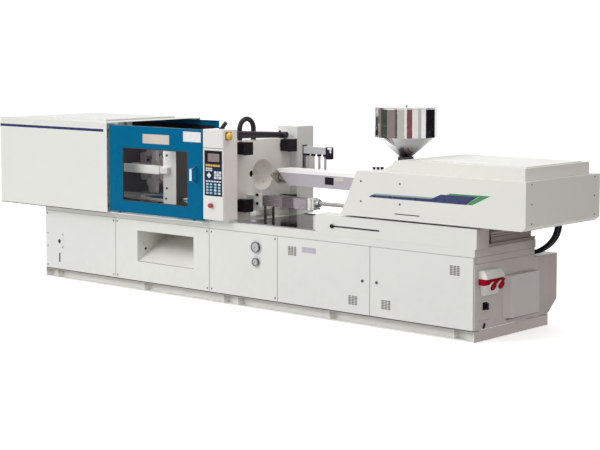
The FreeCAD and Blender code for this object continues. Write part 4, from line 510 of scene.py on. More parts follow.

# ---- end plates and rear cabinet ----
# Two screwed plates, the shallow cover box and the far cabinet, in grey paint made darker
# and warmer as painted shade on these dim end faces, with the cover box's face a little
# lighter and the plate's far part as dark as the cabinet; a dark strip is painted as the
# shadow under and beside the box, and a cream strip as light on its near side. The plates'
# screws are painted over and the row of small studs is black.
# painted shade: a darker, warmer grey for the dim end faces; the cover box's face a little lighter
end_grey_and_shade = finish("end_grey_and_shade", (0.66, 0.625, 0.605), (0.62, 0.585, 0.565), cloud=1.1, grain=240.0,
                    edge=0.002, grime=0.15,
                    fades=(("Y", 0.343, 0.346, (0.55, 0.49, 0.48)),
                           ("X", 1.9375, 1.9385, (0.67, 0.645, 0.63))))
dress(end_grey_and_shade, "end_panel")
# painted shade: the cabinet's grey is darker and warmer for its dim end
cabinet_grey_and_shade = finish("cabinet_grey_and_shade", (0.55, 0.49, 0.48), (0.51, 0.455, 0.445), cloud=1.0, grain=230.0,
                        edge=0.003, grime=0.18)
dress(cabinet_grey_and_shade, "rear_cabinet")
END = 1.900
BOX_OUT = END + 0.046
work = bmesh.new()
for y, z in ((-0.450, 0.110), (-0.450, 0.535), (0.440, 0.110), (0.250, 0.535), (-0.440, 0.600),
             (0.260, 0.600)):
    screw_head(work, "x", (y, z), END, 1, 0.0055, 0.0025)
for y, z in ((-0.053, 0.145), (-0.053, 0.432), (0.278, 0.145), (0.278, 0.432)):
    screw_head(work, "x", (y, z), BOX_OUT, 1, 0.005, 0.002)
make("end_screws", work, end_grey_and_shade)
work = bmesh.new()
for i in range(6):
    screw_head(work, "x", (-0.418 + 0.024 * i, 0.150), END, 1, 0.0028, 0.0015)
make("end_studs", work, dark_screw)
# a dark strip painted as the shadow under and beside the cover box
shadow_line_brown = finish("shadow_line_brown", (0.10, 0.085, 0.075), (0.14, 0.12, 0.11), rough=(0.5, 0.7), cloud=30.0)
blocks("box_cover_shadow_line", shadow_line_brown, "hose_rubber", ((END, -0.078, 0.113), (END + 0.003, 0.343, 0.125)),
       ((END, 0.343, 0.125), (END + 0.003, 0.348, 0.440)))
# a cream strip painted as light on the cover box's near side
blocks("box_cover_lit_side", panel_enamel, "cream_paint",
       ((END + 0.003, -0.0692, 0.132), (END + 0.045, -0.0682, 0.445)))

# ---- doors' louvres, filters and locks ----
# Each vent is a block of pressed louvres with a dark filter behind it;
# the locks are cast quarter-turns, blackened, with a screwdriver slot.
VENTS = {"left_door": ((0.108, 0.473), (0.729, 0.150)), "right_door": ((1.051, 0.150), (1.683, 0.474))}
VENT_WIDE, VENT_HIGH = 0.092, 0.073
for body, vents in VENTS.items():
    lips, felt = bmesh.new(), bmesh.new()
    for x0, z0 in vents:
        slab(felt, (x0 - 0.006, FRONT + 0.006, z0 - 0.006),
             (x0 + VENT_WIDE + 0.002, FRONT + 0.010, z0 + VENT_HIGH))
        for i in range(3):
            for j in range(6):
                x = x0 + i * VENT_WIDE / 3
                z = z0 + j * VENT_HIGH / 6 + VENT_HIGH / 12
                wide = VENT_WIDE / 3 * 0.76
                points = [(FRONT, z + 0.003), (FRONT - 0.0035, z - 0.002), (FRONT - 0.0035, z - 0.003),
                          (FRONT, z - 0.0002)]
                prism(lips, [(x, y, h) for y, h in points], [(x + wide, y, h) for y, h in points])
    make(body + "_louvres", lips, vent_grey, body=body)
    make(body + "_filters", felt, ink, body=body)
lock_black = finish("lock_black", (0.06, 0.06, 0.065), (0.11, 0.11, 0.12), rough=(0.3, 0.45), metal=0.8,
                    cloud=70.0)
dress(lock_black, "door_latch_left", "door_latch_right")

# ---- sockets ----
# A white moulded wall box with a red skirt under a white cap, screwed to the end plate;
# in its slanted face are two sockets, each with a white collar and a red spring lid.
socket_white = finish("socket_white", (0.95, 0.95, 0.93), (0.91, 0.91, 0.89), rough=(0.3, 0.4), cloud=9.0,
                      grain=500.0, edge=0.002)
socket_red = finish("socket_red", (0.45, 0.006, 0.024), (0.37, 0.005, 0.020), rough=(0.4, 0.5), cloud=14.0,
                    grain=500.0, edge=0.0015, sheen=0.02)
SOCKETS = ((-0.342, "left"), (-0.243, "right"))


def profile_y(work, outline, y0, y1):
    """Adds an outline of X, Z points drawn out along Y."""
    prism(work, [(x, y0, z) for x, z in outline], [(x, y1, z) for x, z in outline])


cap, skirt = bmesh.new(), bmesh.new()
profile_y(cap, [(END, 0.519), (1.948, 0.519), (1.979, 0.474), (1.974, 0.458), (END, 0.458)], -0.4355, -0.2125)
profile_y(skirt, [(END, 0.458), (1.9722, 0.458), (1.9542, 0.413), (END, 0.413)], -0.436, -0.212)
make("socket_cap", cap, socket_white, rounded=0.003)
make("socket_skirts", skirt, socket_red, rounded=0.0015)
FACE_TOP, FACE_LOW = Vector((1.975, 0.0, 0.470)), Vector((1.925, 0.0, 0.345))
FACE_UP = (FACE_TOP - FACE_LOW).normalized()
FACE_OUT = Vector((FACE_UP.z, 0.0, -FACE_UP.x))


def on_face(work, y, outline, steps=36):
    """Adds a shape turned square to the sockets' slanted face: the outline is (out, radius)."""
    seat = (FACE_TOP + FACE_LOW) / 2 + Vector((0.0, y, 0.0))
    rings = []
    turns = [2 * pi * i / steps for i in range(steps)]
    spokes = [FACE_UP * sin(t) + Vector((0, 1, 0)) * cos(t) for t in turns]
    for out, r in outline:
        rings.append([work.verts.new(seat + FACE_OUT * out + spoke * r) for spoke in spokes])
    for a, b in zip(rings, rings[1:] + rings[:1]):
        for i in range(steps):
            j = (i + 1) % steps
            work.faces.new((a[i], a[j], b[j], b[i]))


def tapered(work, low, high):
    """Adds a block whose foot and top differ: each is (x0, x1, y0, y1, z)."""
    prism(work, *[((x0, y0, z), (x1, y0, z), (x1, y1, z), (x0, y1, z)) for x0, x1, y0, y1, z in (low, high)])


work = bmesh.new()
tapered(work, (END, 1.921, -0.400, -0.222, 0.331), (END, 1.971, -0.4345, -0.2135, 0.460))
socket_body = make("socket_body", work, socket_white, rounded=0.003)
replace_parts(socket_body, "socket_housing")
collars = bmesh.new()
middle = (FACE_TOP + FACE_LOW) / 2
hinge = middle + FACE_UP * 0.050 + FACE_OUT * 0.019
foot = middle + FACE_UP * 0.024 + FACE_OUT * 0.019
for y, side in SOCKETS:
    on_face(collars, y, ((0.0, 0.0245), (0.0, 0.0335), (0.009, 0.0325), (0.0125, 0.031), (0.0135, 0.0245)))
    lid = bmesh.new()
    on_face(lid, y, ((0.0145, 0.001), (0.0145, 0.0305), (0.0185, 0.032), (0.0235, 0.03), (0.0235, 0.001)))
    turned(lid, "y", (hinge.x, hinge.z), [(y - 0.014, 0.0055), (y + 0.014, 0.0055)], steps=20)
    tapered(lid, (foot.x - 0.004, foot.x + 0.004, y - 0.013, y + 0.013, foot.z),
            (hinge.x - 0.004, hinge.x + 0.004, y - 0.012, y + 0.012, hinge.z))
    lid_cap = make("socket_lid_" + side + "_cap", lid, socket_red, body=side + "_lid")
    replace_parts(lid_cap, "socket_lid_" + side)
make("socket_collars", collars, socket_white)

# ---- main switch ----
# A black rotary isolator with a bar grip, in a black frame on a pale square plate, and
# below it a small slanted key switch; all are moulded and screwed to the end plate.
black_moulding = finish("black_moulding", (0.009, 0.008, 0.012), (0.018, 0.016, 0.022), rough=(0.32, 0.5),
                        cloud=30.0, grain=700.0, edge=0.001, sheen=0.12)
dress(black_moulding, "main_switch_knob")
SWITCH_Y, SWITCH_Z = -0.357, 0.253
FRAME_HALF, PLATE_HALF = 0.029, 0.036


def four_bars(a0, b0, a1, b1, wide):
    """The bars of a rectangular frame, each as its two corners in the frame's plane."""
    return (((a0, b0), (a1, b0 + wide)), ((a0, b1 - wide), (a1, b1)),
            ((a0, b0 + wide), (a0 + wide, b1 - wide)), ((a1 - wide, b0 + wide), (a1, b1 - wide)))


work = bmesh.new()
for low, high in four_bars(SWITCH_Y - FRAME_HALF, SWITCH_Z - FRAME_HALF, SWITCH_Y + FRAME_HALF,
                           SWITCH_Z + FRAME_HALF, 0.009):
    slab(work, (END, *low), (END + 0.006, *high))
make("switch_frame", work, black_moulding, rounded=0.001)
plate_white = finish("plate_white", (0.86, 0.87, 0.88), (0.80, 0.81, 0.83), rough=(0.25, 0.35), cloud=8.0)
blocks("switch_back", plate_white, "cover_grey",
       ((END, SWITCH_Y - PLATE_HALF, SWITCH_Z - PLATE_HALF),
        (END + 0.002, SWITCH_Y + PLATE_HALF, SWITCH_Z + PLATE_HALF)), rounded=0.0005)
KEY_AT = (-0.365, 0.110)
lean = radians(-28)
work = bmesh.new()
for i, (a, b) in enumerate(((0.008, 0.021), (0.006, 0.016))):
    h0, h1 = END + 0.002 * i, END + 0.004 + 0.006 * i
    outline = [(-a, -b), (a, -b), (a, b), (-a, b)]
    leaning = [(KEY_AT[0] + y * cos(lean) - z * sin(lean), KEY_AT[1] + y * sin(lean) + z * cos(lean))
               for y, z in outline]
    prism(work, [(h0, y, z) for y, z in leaning], [(h1, y, z) for y, z in leaning])
make("key_switch", work, black_moulding, rounded=0.001)

# ---- knob in the long slot ----
# A turned black knob that clamps the carriage stop wherever it stands in the slot;
# a dark strip behind the slot is painted as the shade inside it.
work = bmesh.new()
turned(work, "y", (0.565, 0.738),
       [(-0.471, 0.006), (-0.4865, 0.006), (-0.4865, 0.010), (-0.489, 0.010), (-0.489, 0.0145),
        (-0.491, 0.016), (-0.500, 0.015), (-0.503, 0.012)], steps=20)
knob = make("stop_knob_body", work, black_moulding, body="stop_knob", sharp=0.5)
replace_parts(knob, "slot_knob")
# a dark strip painted as the shade inside the slot
blocks("slot_shade_strip", ink, "black_plastic", ((0.530, -0.48, 0.728), (1.040, -0.477, 0.748)))

# ---- fixed guard ----
# Sheet guard over the toggle clamp in cream enamel, with a painted navy line along
# both sides, dark strips painted as the shadow in the gaps along its foot and beside
# the gate, and painted screws.
guard_enamel = finish("guard_enamel", (0.83, 0.845, 0.81), (0.795, 0.81, 0.775), cloud=0.7, grain=230.0,
                      edge=0.003)
dress(guard_enamel, "clamp_guard")
navy = finish("navy", (0.012, 0.022, 0.115), (0.018, 0.030, 0.14), rough=(0.25, 0.35), cloud=3.0)
GUARD_SIDE = 0.570
work = bmesh.new()
for side in (-1, 1):
    y0, y1 = sorted((side * GUARD_SIDE, side * (GUARD_SIDE + 0.0006)))
    slab(work, (-3.43, y0, 1.3685), (-1.983, y1, 1.3915))
make("guard_line", work, navy)
# dark strips painted as the shadow in the guard's gaps
gap_shadow_dark = finish("gap_shadow_dark", (0.045, 0.04, 0.04), (0.07, 0.065, 0.06), rough=(0.5, 0.65), cloud=40.0)
work = bmesh.new()
for side in (-1, 1):
    y0, y1 = sorted((side * (GUARD_SIDE - 0.004), side * (GUARD_SIDE + 0.0012)))
    slab(work, (-3.43, y0, 0.6585), (-1.9365, y1, 0.665))
    slab(work, (-1.9385, y0, 0.665), (-1.9352, y1, 1.46))
make("guard_gap_shadow_dark", work, gap_shadow_dark, rounded=0.0008)
work = bmesh.new()
for side in (-1, 1):
    for x in (-3.36, -2.92, -2.46, -2.02):
        for z in (0.700, 1.418):
            screw_head(work, "y", (x, z), side * GUARD_SIDE, side, 0.006, 0.0025)
make("guard_screws", work, guard_enamel)

# ---- sliding gates ----
# Folded sheet gates in blue enamel on rollers. The near one has a clear pane in black
# rubber and two riveted plates; the far one carries a dark sheet on its inside, painted
# as the shade seen through the near one's window.
gate_blue = finish("gate_blue", (0.0, 0.145, 0.305), (0.0, 0.135, 0.28), rough=(0.25, 0.38), cloud=1.0,
                   grain=260.0, edge=0.002, sheen=0.04)
dress(gate_blue, "front_gate", "rear_gate")
pane_clear = clear("pane_clear", (0.10, 0.11, 0.12), 0.10, 0.04)
dress(pane_clear, "gate_window")
gasket = finish("gasket", (0.02, 0.02, 0.022), (0.035, 0.035, 0.038), rough=(0.5, 0.65), cloud=40.0,
                grain=600.0)
work = bmesh.new()
for low, high in four_bars(-1.747, 0.785, -0.945, 1.245, 0.006):
    slab(work, (low[0], -0.5635, low[1]), (high[0], -0.556, high[1]))
make("gate_gasket", work, gasket, body="operator_gate", rounded=0.0015)
# a dark sheet painted as the shade inside the far gate
gate_inside_shade = finish("gate_inside_shade", (0.014, 0.011, 0.014), (0.026, 0.021, 0.025), rough=(0.6, 0.75),
                     cloud=5.0, sheen=0.1)
blocks("rear_gate_inside_shade", gate_inside_shade, "hose_rubber", ((-2.780, 0.535, 0.716), (-1.724, 0.54, 1.388)),
       body="far_gate", rounded=0.001)
plate_beige = finish("plate_beige", (0.60, 0.54, 0.46), (0.66, 0.61, 0.54), rough=(0.3, 0.4), cloud=6.0)
OUT = -0.562
PLATE_THICK = 0.0016
GATE_PLATES = (("gate_name_place", plate_beige, -1.489, 1.291, -1.163, 1.371),
               ("gate_notice_place", plate_white, -0.995, 1.327, -0.788, 1.411))
rivets = bmesh.new()
for name, made, x0, z0, x1, z1 in GATE_PLATES:
    blocks(name, made, "cover_grey", ((x0, OUT - PLATE_THICK, z0), (x1, OUT, z1)), body="operator_gate",
           rounded=0.0006)
    for x in (x0 + 0.008, x1 - 0.008):
        for z in (z0 + 0.008, z1 - 0.008):
            screw_head(rivets, "y", (x, z), OUT - PLATE_THICK, -1, 0.003, 0.0012)
make("gate_plate_rivets", rivets, chrome, body="operator_gate")

# ---- gate handle ----
# A chromed bow handle of flat bar with eased edges, held by two cap screws from inside
# the gate.
dress(chrome, "gate_handle")

# ---- control box ----
# Sheet box beside the gate in the cream enamel, its side face towards the injection end
# painted lighter as light falling on it; it carries the key panel, the stop button on a
# white ring and the lamp.
BOX_TONES = ((0.83, 0.845, 0.81), (0.80, 0.81, 0.78))
BOX_LOOK = dict(cloud=1.4, grain=240.0, edge=0.002)
# painted light: the box's side face towards the injection end is lighter
control_enamel_lit_side = finish("control_enamel_lit_side", *BOX_TONES, fades=(("X", -0.5275, -0.5265, (0.98, 0.95, 0.93)),),
                        **BOX_LOOK)
dress(control_enamel_lit_side, "control_box")

# ---- key panel ----
# A printed foil over a keyboard: a black head with a small display, then yellow, white
# and pale blue keys in raised fields on navy.
PANEL_Y = -0.570
foil_navy = finish("foil_navy", (0.010, 0.024, 0.075), (0.013, 0.030, 0.090), rough=(0.25, 0.35), cloud=9.0,
                   sheen=0.10)
foil_black = finish("foil_black", (0.010, 0.008, 0.012), (0.018, 0.016, 0.022), rough=(0.2, 0.3),
                    cloud=12.0, sheen=0.10)
display = finish("display", (0.30, 0.25, 0.24), (0.25, 0.21, 0.21), rough=(0.08, 0.14), cloud=20.0, sheen=0.2)
KEY_TONES = (("yellow", (0.80, 0.50, 0.05), (0.74, 0.45, 0.04)),
             ("white", (0.82, 0.84, 0.86), (0.76, 0.78, 0.80)),
             ("cyan", (0.28, 0.58, 0.74), (0.42, 0.68, 0.80)),
             ("grey", (0.50, 0.56, 0.64), (0.56, 0.62, 0.68)))
key_caps = {}
for name, light, dark in KEY_TONES:
    key_caps[name] = finish("key_" + name, light, dark, rough=(0.3, 0.4), cloud=20.0)
panel_foil = blocks("panel_foil", foil_navy, "keypad_foil",
                    ((-0.739, PANEL_Y - 0.001, 0.896), (-0.537, PANEL_Y + 0.003, 1.268)), rounded=0.0005)
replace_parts(panel_foil, "keypad")
blocks("panel_head", foil_black, "black_plastic",
       ((-0.735, PANEL_Y - 0.0018, 1.166), (-0.541, PANEL_Y - 0.0004, 1.264)), rounded=0.0004)
blocks("panel_display", display, "pane",
       ((-0.697, PANEL_Y - 0.0026, 1.178), (-0.566, PANEL_Y - 0.0014, 1.244)), rounded=0.0004)
keys = {name: [] for name in key_caps}
for i in range(6):
    keys["yellow"].append((-0.722 + 0.0275 * i, 1.138, 0.024, 0.017))
for i in range(3):
    for j in range(2):
        keys["white"].append((-0.721 + 0.026 * i, 1.099 + 0.016 * j, 0.020, 0.012))
for i in range(3):
    for j in range(3):
        which = "grey" if (i + j) % 2 else "white"
        keys[which].append((-0.626 + 0.028 * i, 1.038 + 0.022 * j, 0.024, 0.019))
for i in range(6):
    keys["white"].append((-0.722 + 0.03 * i, 1.011, 0.024, 0.011))
for i in range(4):
    for j in range(4):
        which = "cyan" if i < 2 or (i + j) % 3 else "white"
        step = 0.041 if i < 2 else 0.045
        keys[which].append((-0.718 + step * i, 0.912 + 0.024 * j, 0.028, 0.016))
for name, spots in keys.items():
    work = bmesh.new()
    for x, z, wide, high in spots:
        slab(work, (x, PANEL_Y - 0.0034, z), (x + wide, PANEL_Y - 0.0005, z + high))
    if name == "white":
        x, z, r = -0.685, 1.064, 0.025
        diamond = [(x, z + r), (x + r, z), (x, z - r), (x - r, z)]
        prism(work, *[[(a, PANEL_Y - out, b) for a, b in diamond] for out in (0.0005, 0.003)])
    make("panel_keys_" + name, work, key_caps[name], rounded=0.0008)
blocks("panel_lid_seam", ink, "black_plastic",
       ((-0.754, PANEL_Y - 0.0006, 1.2865), (-0.527, PANEL_Y + 0.0006, 1.2895)))

# ---- emergency stop and lamp ----
# A red mushroom button over a pale ring on the control box's face, and an amber dome
# on a brown plate on the box's side.
stop_red = finish("stop_red", (0.42, 0.035, 0.045), (0.34, 0.03, 0.04), rough=(0.25, 0.35), cloud=30.0,
                  coat=0.2)
dress(stop_red, "emergency_stop")
work = bmesh.new()
turned(work, "y", (-0.656, 0.818),
       [(PANEL_Y, 0.0125), (PANEL_Y, 0.031), (PANEL_Y - 0.0006, 0.031), (PANEL_Y - 0.0009, 0.030),
        (PANEL_Y - 0.0009, 0.0135), (PANEL_Y - 0.0006, 0.0125)], steps=40, capped=False)
make("stop_ring", work, key_caps["white"])
amber = finish("amber", (0.92, 0.56, 0.010), (0.88, 0.50, 0.008), rough=(0.12, 0.2), cloud=30.0, coat=0.6)
LAMP = (-0.510, 1.389)
BOX_SIDE = -0.525
dome = bmesh.new()
dome_outline = [(BOX_SIDE + 0.008, 0.0), (BOX_SIDE + 0.008, 0.031)]
for i in range(9):
    t = radians(90 * i / 8)
    dome_outline.append((BOX_SIDE + 0.014 + 0.026 * sin(t), 0.031 * cos(t) if i < 8 else 0.0))
turned(dome, "x", LAMP, dome_outline, steps=40, capped=False)
lamp_brown = finish("lamp_brown", (0.30, 0.21, 0.09), (0.24, 0.17, 0.07), rough=(0.35, 0.5), cloud=20.0)
bezel = blocks("lamp_bezel", lamp_brown, "cover_grey",
               ((BOX_SIDE, LAMP[0] - 0.034, LAMP[1] - 0.034),
                (BOX_SIDE + 0.009, LAMP[0] + 0.034, LAMP[1] + 0.034)), rounded=0.002)
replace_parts(bezel, "alarm_lamp")
make("lamp_dome", dome, amber)

# ---- rear post and conduits ----
# The sheet post behind the fixed platen, in the guard's enamel, and black flexible
# conduits with smooth skins on top of the platen and the control box.
dress(guard_enamel, "rear_post")
conduit_skin = finish("conduit_skin", (0.016, 0.013, 0.019), (0.028, 0.022, 0.032), rough=(0.3, 0.42),
                      cloud=30.0, grain=900.0, depth=0.0006, sheen=0.32)
dress(conduit_skin, "platen_conduits")

# ---- platens ----
# Machined iron castings, painted pale grey, with tapped holes for mould clamps. The
# tail platen's front and the moving platen's mould face are darkened, as in shadow.
CAST_TONES = ((0.93, 0.905, 0.86), (0.87, 0.85, 0.81))
CAST_LOOK = dict(rough=(0.35, 0.5), cloud=3.0, grain=110.0, depth=0.0006, edge=0.003)
platen_grey = finish("platen_grey", *CAST_TONES, **CAST_LOOK)
dress(platen_grey, "stationary_platen")
# painted shade: the tail platen's front turns dark
tail_grey = finish("tail_grey", *CAST_TONES, fades=(("X", -2.140, -2.128, (0.060, 0.045, 0.052)),),
                   **CAST_LOOK)
dress(tail_grey, "tail_platen")
# painted shade: the moving platen's mould face turns dark
platen_shaded_face = finish("platen_shaded_face", (0.93, 0.92, 0.87), (0.88, 0.87, 0.83),
                      fades=(("X", -1.3035, -1.3025, (0.06, 0.045, 0.04)),), **CAST_LOOK)
dress(platen_shaded_face, "moving_platen")
AXIS = 1.037
MOULD_FACES = (("fixed_face_holes", -0.820, -1, "machine"), ("moving_face_holes", -1.302, 1, "moving"))
for name, face, out, body in MOULD_FACES:
    work = bmesh.new()
    for y in (-0.21, -0.14, -0.07, 0.07, 0.14, 0.21):
        for z in (-0.14, -0.07, 0.0, 0.07, 0.14):
            if hypot(y, z) < 0.085:
                continue
            turned(work, "x", (y, AXIS + z),
                   [(face, 0.0105), (face + out * 0.0012, 0.01), (face + out * 0.0012, 0.0085),
                    (face + out * 0.0004, 0.008)], steps=16)
    make(name, work, dark_screw, body=body)
work = bmesh.new()
turned(work, "x", (-0.128, AXIS + 0.015),
       [(-0.675, 0.0295), (-0.640, 0.0295), (-0.636, 0.026), (-0.636, 0.018), (-0.668, 0.014)], steps=32)
make("cable_grommet", work, black_moulding)

# ---- tie bars and their caps ----
# Hard chromed ground bars with round nuts, under square black moulded caps that
# have a round collar at the platen and a lip at the end.
dress(chrome, "tie_bars")
dress(black_moulding, "tie_bar_caps")

# ---- toggle, crosshead and clamp cylinder ----
# Forged steel links and crosshead, milled on their faces, on hardened pins;
# the cylinder is painted grey.
link_steel = finish("link_steel", (0.78, 0.70, 0.70), (0.55, 0.49, 0.50), rough=(0.35, 0.5), metal=0.25,
                    cloud=9.0, grain=150.0, edge=0.003)
dress(link_steel, "upper_rear_link", "lower_rear_link", "upper_front_link", "lower_front_link",
      "upper_short_link", "lower_short_link", "crosshead")
cylinder_grey = finish("cylinder_grey", (0.46, 0.47, 0.48), (0.40, 0.41, 0.42), rough=(0.3, 0.42),
                       cloud=4.0, edge=0.002)
dress(cylinder_grey, "clamp_cylinder")

# ---- carriage, injection cylinders and pusher ----
# Castings and welded plate in grey enamel that slide on the tee rails and rods; the
# carriage's grey is made darker as painted shade under the hood, and three dark strips on
# its end are painted shadows under its ledges.
dress(cylinder_grey, "injection_cylinders", "injection_crosshead")
# painted shade: the carriage's grey is darker for the shade under the hood
carriage_grey_and_shade = finish("carriage_grey_and_shade", (0.46, 0.41, 0.39), (0.40, 0.355, 0.34), rough=(0.35, 0.5),
                       cloud=3.0, edge=0.002)
dress(carriage_grey_and_shade, "injection_carriage")
# three dark strips painted as shadows under the ledges on the carriage's end
work = bmesh.new()
for y1, z0, z1 in ((0.05, 0.7815, 0.7898), (0.284, 0.76, 0.764), (0.284, 0.7445, 0.748)):
    slab(work, (END, -0.284, z0), (END + 0.0008, y1, z1))
make("carriage_end_shadow_lines", work, shadow_line_brown, body="carriage")

# ---- ejector, safety bar and platen screws ----
# The ejector's cylinder is painted grey and its rod is chromed; the safety bar is cream
# enamelled flat bar, and dark cap screws stand on the moving platen's side.
dress(cylinder_grey, "ejector_cylinder")
dress(chrome, "ejector_rod")
bar_cream = finish("bar_cream", (0.93, 0.93, 0.87), (0.90, 0.90, 0.84), cloud=2.0, edge=0.002)
dress(bar_cream, "safety_bar")
PLATEN_SIDE = -0.350
work = bmesh.new()
for x, z in ((-1.417, 1.177), (-1.417, 0.894), (-1.428, 0.803)):
    screw_head(work, "y", (x, z), PLATEN_SIDE, -1, 0.010, 0.005)
make("moving_platen_screws", work, dark_screw, body="moving")

# ---- seat cylinder ----
# The cylinder that draws the carriage in: a smooth lilac grey body with a darker
# middle, a bolted cream plate at its left end and a cream head on the rod's side.
lilac = finish("lilac", (0.33, 0.295, 0.32), (0.29, 0.26, 0.285), rough=(0.2, 0.32), metal=0.5, cloud=3.0,
               grain=260.0, edge=0.002)
SLEEVE_LOOK = dict(rough=(0.2, 0.3), metal=0.5, cloud=4.0, edge=0.001)
lilac_mid = finish("lilac_mid", (0.26, 0.23, 0.235), (0.22, 0.195, 0.20), **SLEEVE_LOOK)
lilac_dark = finish("lilac_dark", (0.12, 0.10, 0.112), (0.095, 0.08, 0.09), **SLEEVE_LOOK)
seat_body = blocks("seat_body", lilac, "cover_grey", ((-0.427, -0.205, 0.803), (0.058, -0.105, 0.890)),
                   rounded=0.003)
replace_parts(seat_body, "seat_cylinder")
blocks("seat_rear_half", lilac_mid, "cover_grey", ((-0.427, -0.2055, 0.8024), (-0.210, -0.1045, 0.8906)),
       rounded=0.001)
work = bmesh.new()
slab(work, (-0.212, -0.2058, 0.8022), (-0.087, -0.1042, 0.8908))
for x, y in ((-0.417, -0.201), (-0.393, -0.129)):
    slab(work, (x, y, 0.675), (x + 0.016, y + 0.016, 0.804))
make("seat_sleeve_and_legs", work, lilac_dark, rounded=0.001)
box_enamel = finish("box_enamel", *BOX_TONES, **BOX_LOOK)
blocks("seat_plates", box_enamel, "cream_paint", ((-0.620, -0.195, 0.811), (-0.426, -0.115, 0.882)),
       ((-0.517, -0.211, 0.787), (-0.429, -0.193, 0.905)), ((0.057, -0.199, 0.799), (0.094, -0.111, 0.896)),
       ((0.094, -0.190, 0.806), (0.117, -0.120, 0.889)), rounded=0.002)
work = bmesh.new()
for z in (0.818, 0.890):
    turned(work, "y", (-0.481, z),
           [(-0.205, 0.0125), (-0.2195, 0.0125), (-0.221, 0.011), (-0.221, 0.006), (-0.214, 0.006)], steps=20)
make("seat_bolts", work, black_moulding)
work = bmesh.new()
turned(work, "x", (-0.155, 0.858),
       [(0.116, 0.017), (0.116, 0.030), (0.128, 0.030), (0.130, 0.026), (0.142, 0.026), (0.144, 0.030),
        (0.154, 0.030), (0.156, 0.028), (0.156, 0.017), (0.116, 0.017)], capped=False)
for y, z in ((-0.186, 0.812), (-0.186, 0.882), (-0.124, 0.812), (-0.124, 0.882)):
    turned(work, "x", (y, z), [(0.116, 0.008), (0.126, 0.008), (0.127, 0.007)], steps=6)
make("seat_gland", work, crimped_steel)

# ---- water manifold ----
# Two light grey bars on a dark end plate, four smoky flow tubes in black collars, and
# a dark valve block with a white lever, on an arm of the platen.
bar_grey = finish("bar_grey", (0.56, 0.57, 0.60), (0.50, 0.51, 0.54), rough=(0.3, 0.42), metal=0.3,
                  cloud=5.0, edge=0.002)
manifold_bars = blocks("manifold_bars", bar_grey, "cover_grey",
                       ((-0.321, 0.183, 1.220), (-0.075, 0.227, 1.278)),
                       ((-0.321, 0.183, 0.995), (-0.075, 0.227, 1.045)), rounded=0.002)
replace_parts(manifold_bars, "water_manifold")
blocks("manifold_arm", gauge_rim, "cover_grey", ((-0.332, 0.181, 0.995), (-0.320, 0.229, 1.292)),
       ((-0.620, 0.189, 0.999), (-0.331, 0.221, 1.031)), rounded=0.001)
TUBES = [-0.295 + 0.065 * i for i in range(4)]
TUBE_Y = 0.205
work = bmesh.new()
slab(work, (-0.076, 0.180, 1.182), (-0.029, 0.230, 1.282))
for x in TUBES:
    for z0, z1, r in ((1.202, 1.221, 0.019), (1.044, 1.060, 0.017)):
        turned(work, "z", (x, TUBE_Y), [(z0, 0.009), (z0, r), (z1, r), (z1, 0.009)], steps=20, capped=False)
make("manifold_valve", work, black_moulding, rounded=0.0015)
work = bmesh.new()
for x in TUBES:
    turned(work, "z", (x, TUBE_Y), [(1.044, 0.0115), (1.205, 0.0115)], steps=20)
tube_smoke = finish("tube_smoke", (0.62, 0.60, 0.60), (0.54, 0.52, 0.52), rough=(0.12, 0.22), cloud=12.0)
make("manifold_tubes", work, tube_smoke)
blocks("manifold_lever", plate_white, "cover_grey", ((-0.052, 0.174, 1.264), (-0.006, 0.186, 1.280)),
       ((-0.030, 0.176, 1.236), (-0.014, 0.186, 1.268)), rounded=0.003)

# ---- injection barrel, nozzle and cover ----
# A nitrided barrel with clamped heater bands under a folded lilac-grey cover whose top and
# upper edges are painted near white as light falling on them; the nozzle is tinted brown by
# heat, with bright bands painted into its colour as highlights.
band_steel = finish("band_steel", (0.44, 0.42, 0.39), (0.34, 0.31, 0.28), rough=(0.25, 0.4), metal=1.0,
                    cloud=6.0, edge=0.001)
dress(band_steel, "barrel", "screw")
# bright bands painted into the nozzle's colour as highlights, over a heat-tinted brown
heat_brown_and_glints = finish("heat_brown_and_glints", (0.20, 0.12, 0.08), (0.97, 0.95, 0.91), rough=(0.2, 0.3), metal=0.5, cloud=14.0,
                 stretch=(5.0, 0.3, 0.3))
dress(heat_brown_and_glints, "nozzle")
cover_lilac = finish("cover_lilac", (0.50, 0.475, 0.525), (0.46, 0.435, 0.485), rough=(0.28, 0.4),
                     cloud=1.6, edge=0.0015)
dress(cover_lilac, "barrel_cover")
# painted light: the cover's top and upper edges are near white
work = bmesh.new()
slab(work, (-0.377, -0.0892, 1.105), (0.796, 0.0892, 1.1066))
for y0, y1 in ((-0.0892, -0.088), (0.088, 0.0892)):
    profile_y(work, [(-0.377, 1.1055), (-0.350, 1.078), (0.796, 1.078), (0.796, 1.1055)], y0, y1)
cover_top_light_white = finish("cover_top_light_white", (0.98, 0.98, 0.98), (0.96, 0.96, 0.96), cloud=3.0)
make("barrel_cover_lit_top", work, cover_top_light_white, body="carriage", rounded=0.0006)
blocks("barrel_cover_mark", foil_black, "black_plastic", ((0.148, -0.089, 1.006), (0.241, -0.088, 1.066)),
       body="carriage", rounded=0.0004)
blocks("barrel_cover_plate", plate_beige, "cover_grey", ((0.246, -0.089, 1.040), (0.345, -0.088, 1.071)),
       body="carriage", rounded=0.0004)

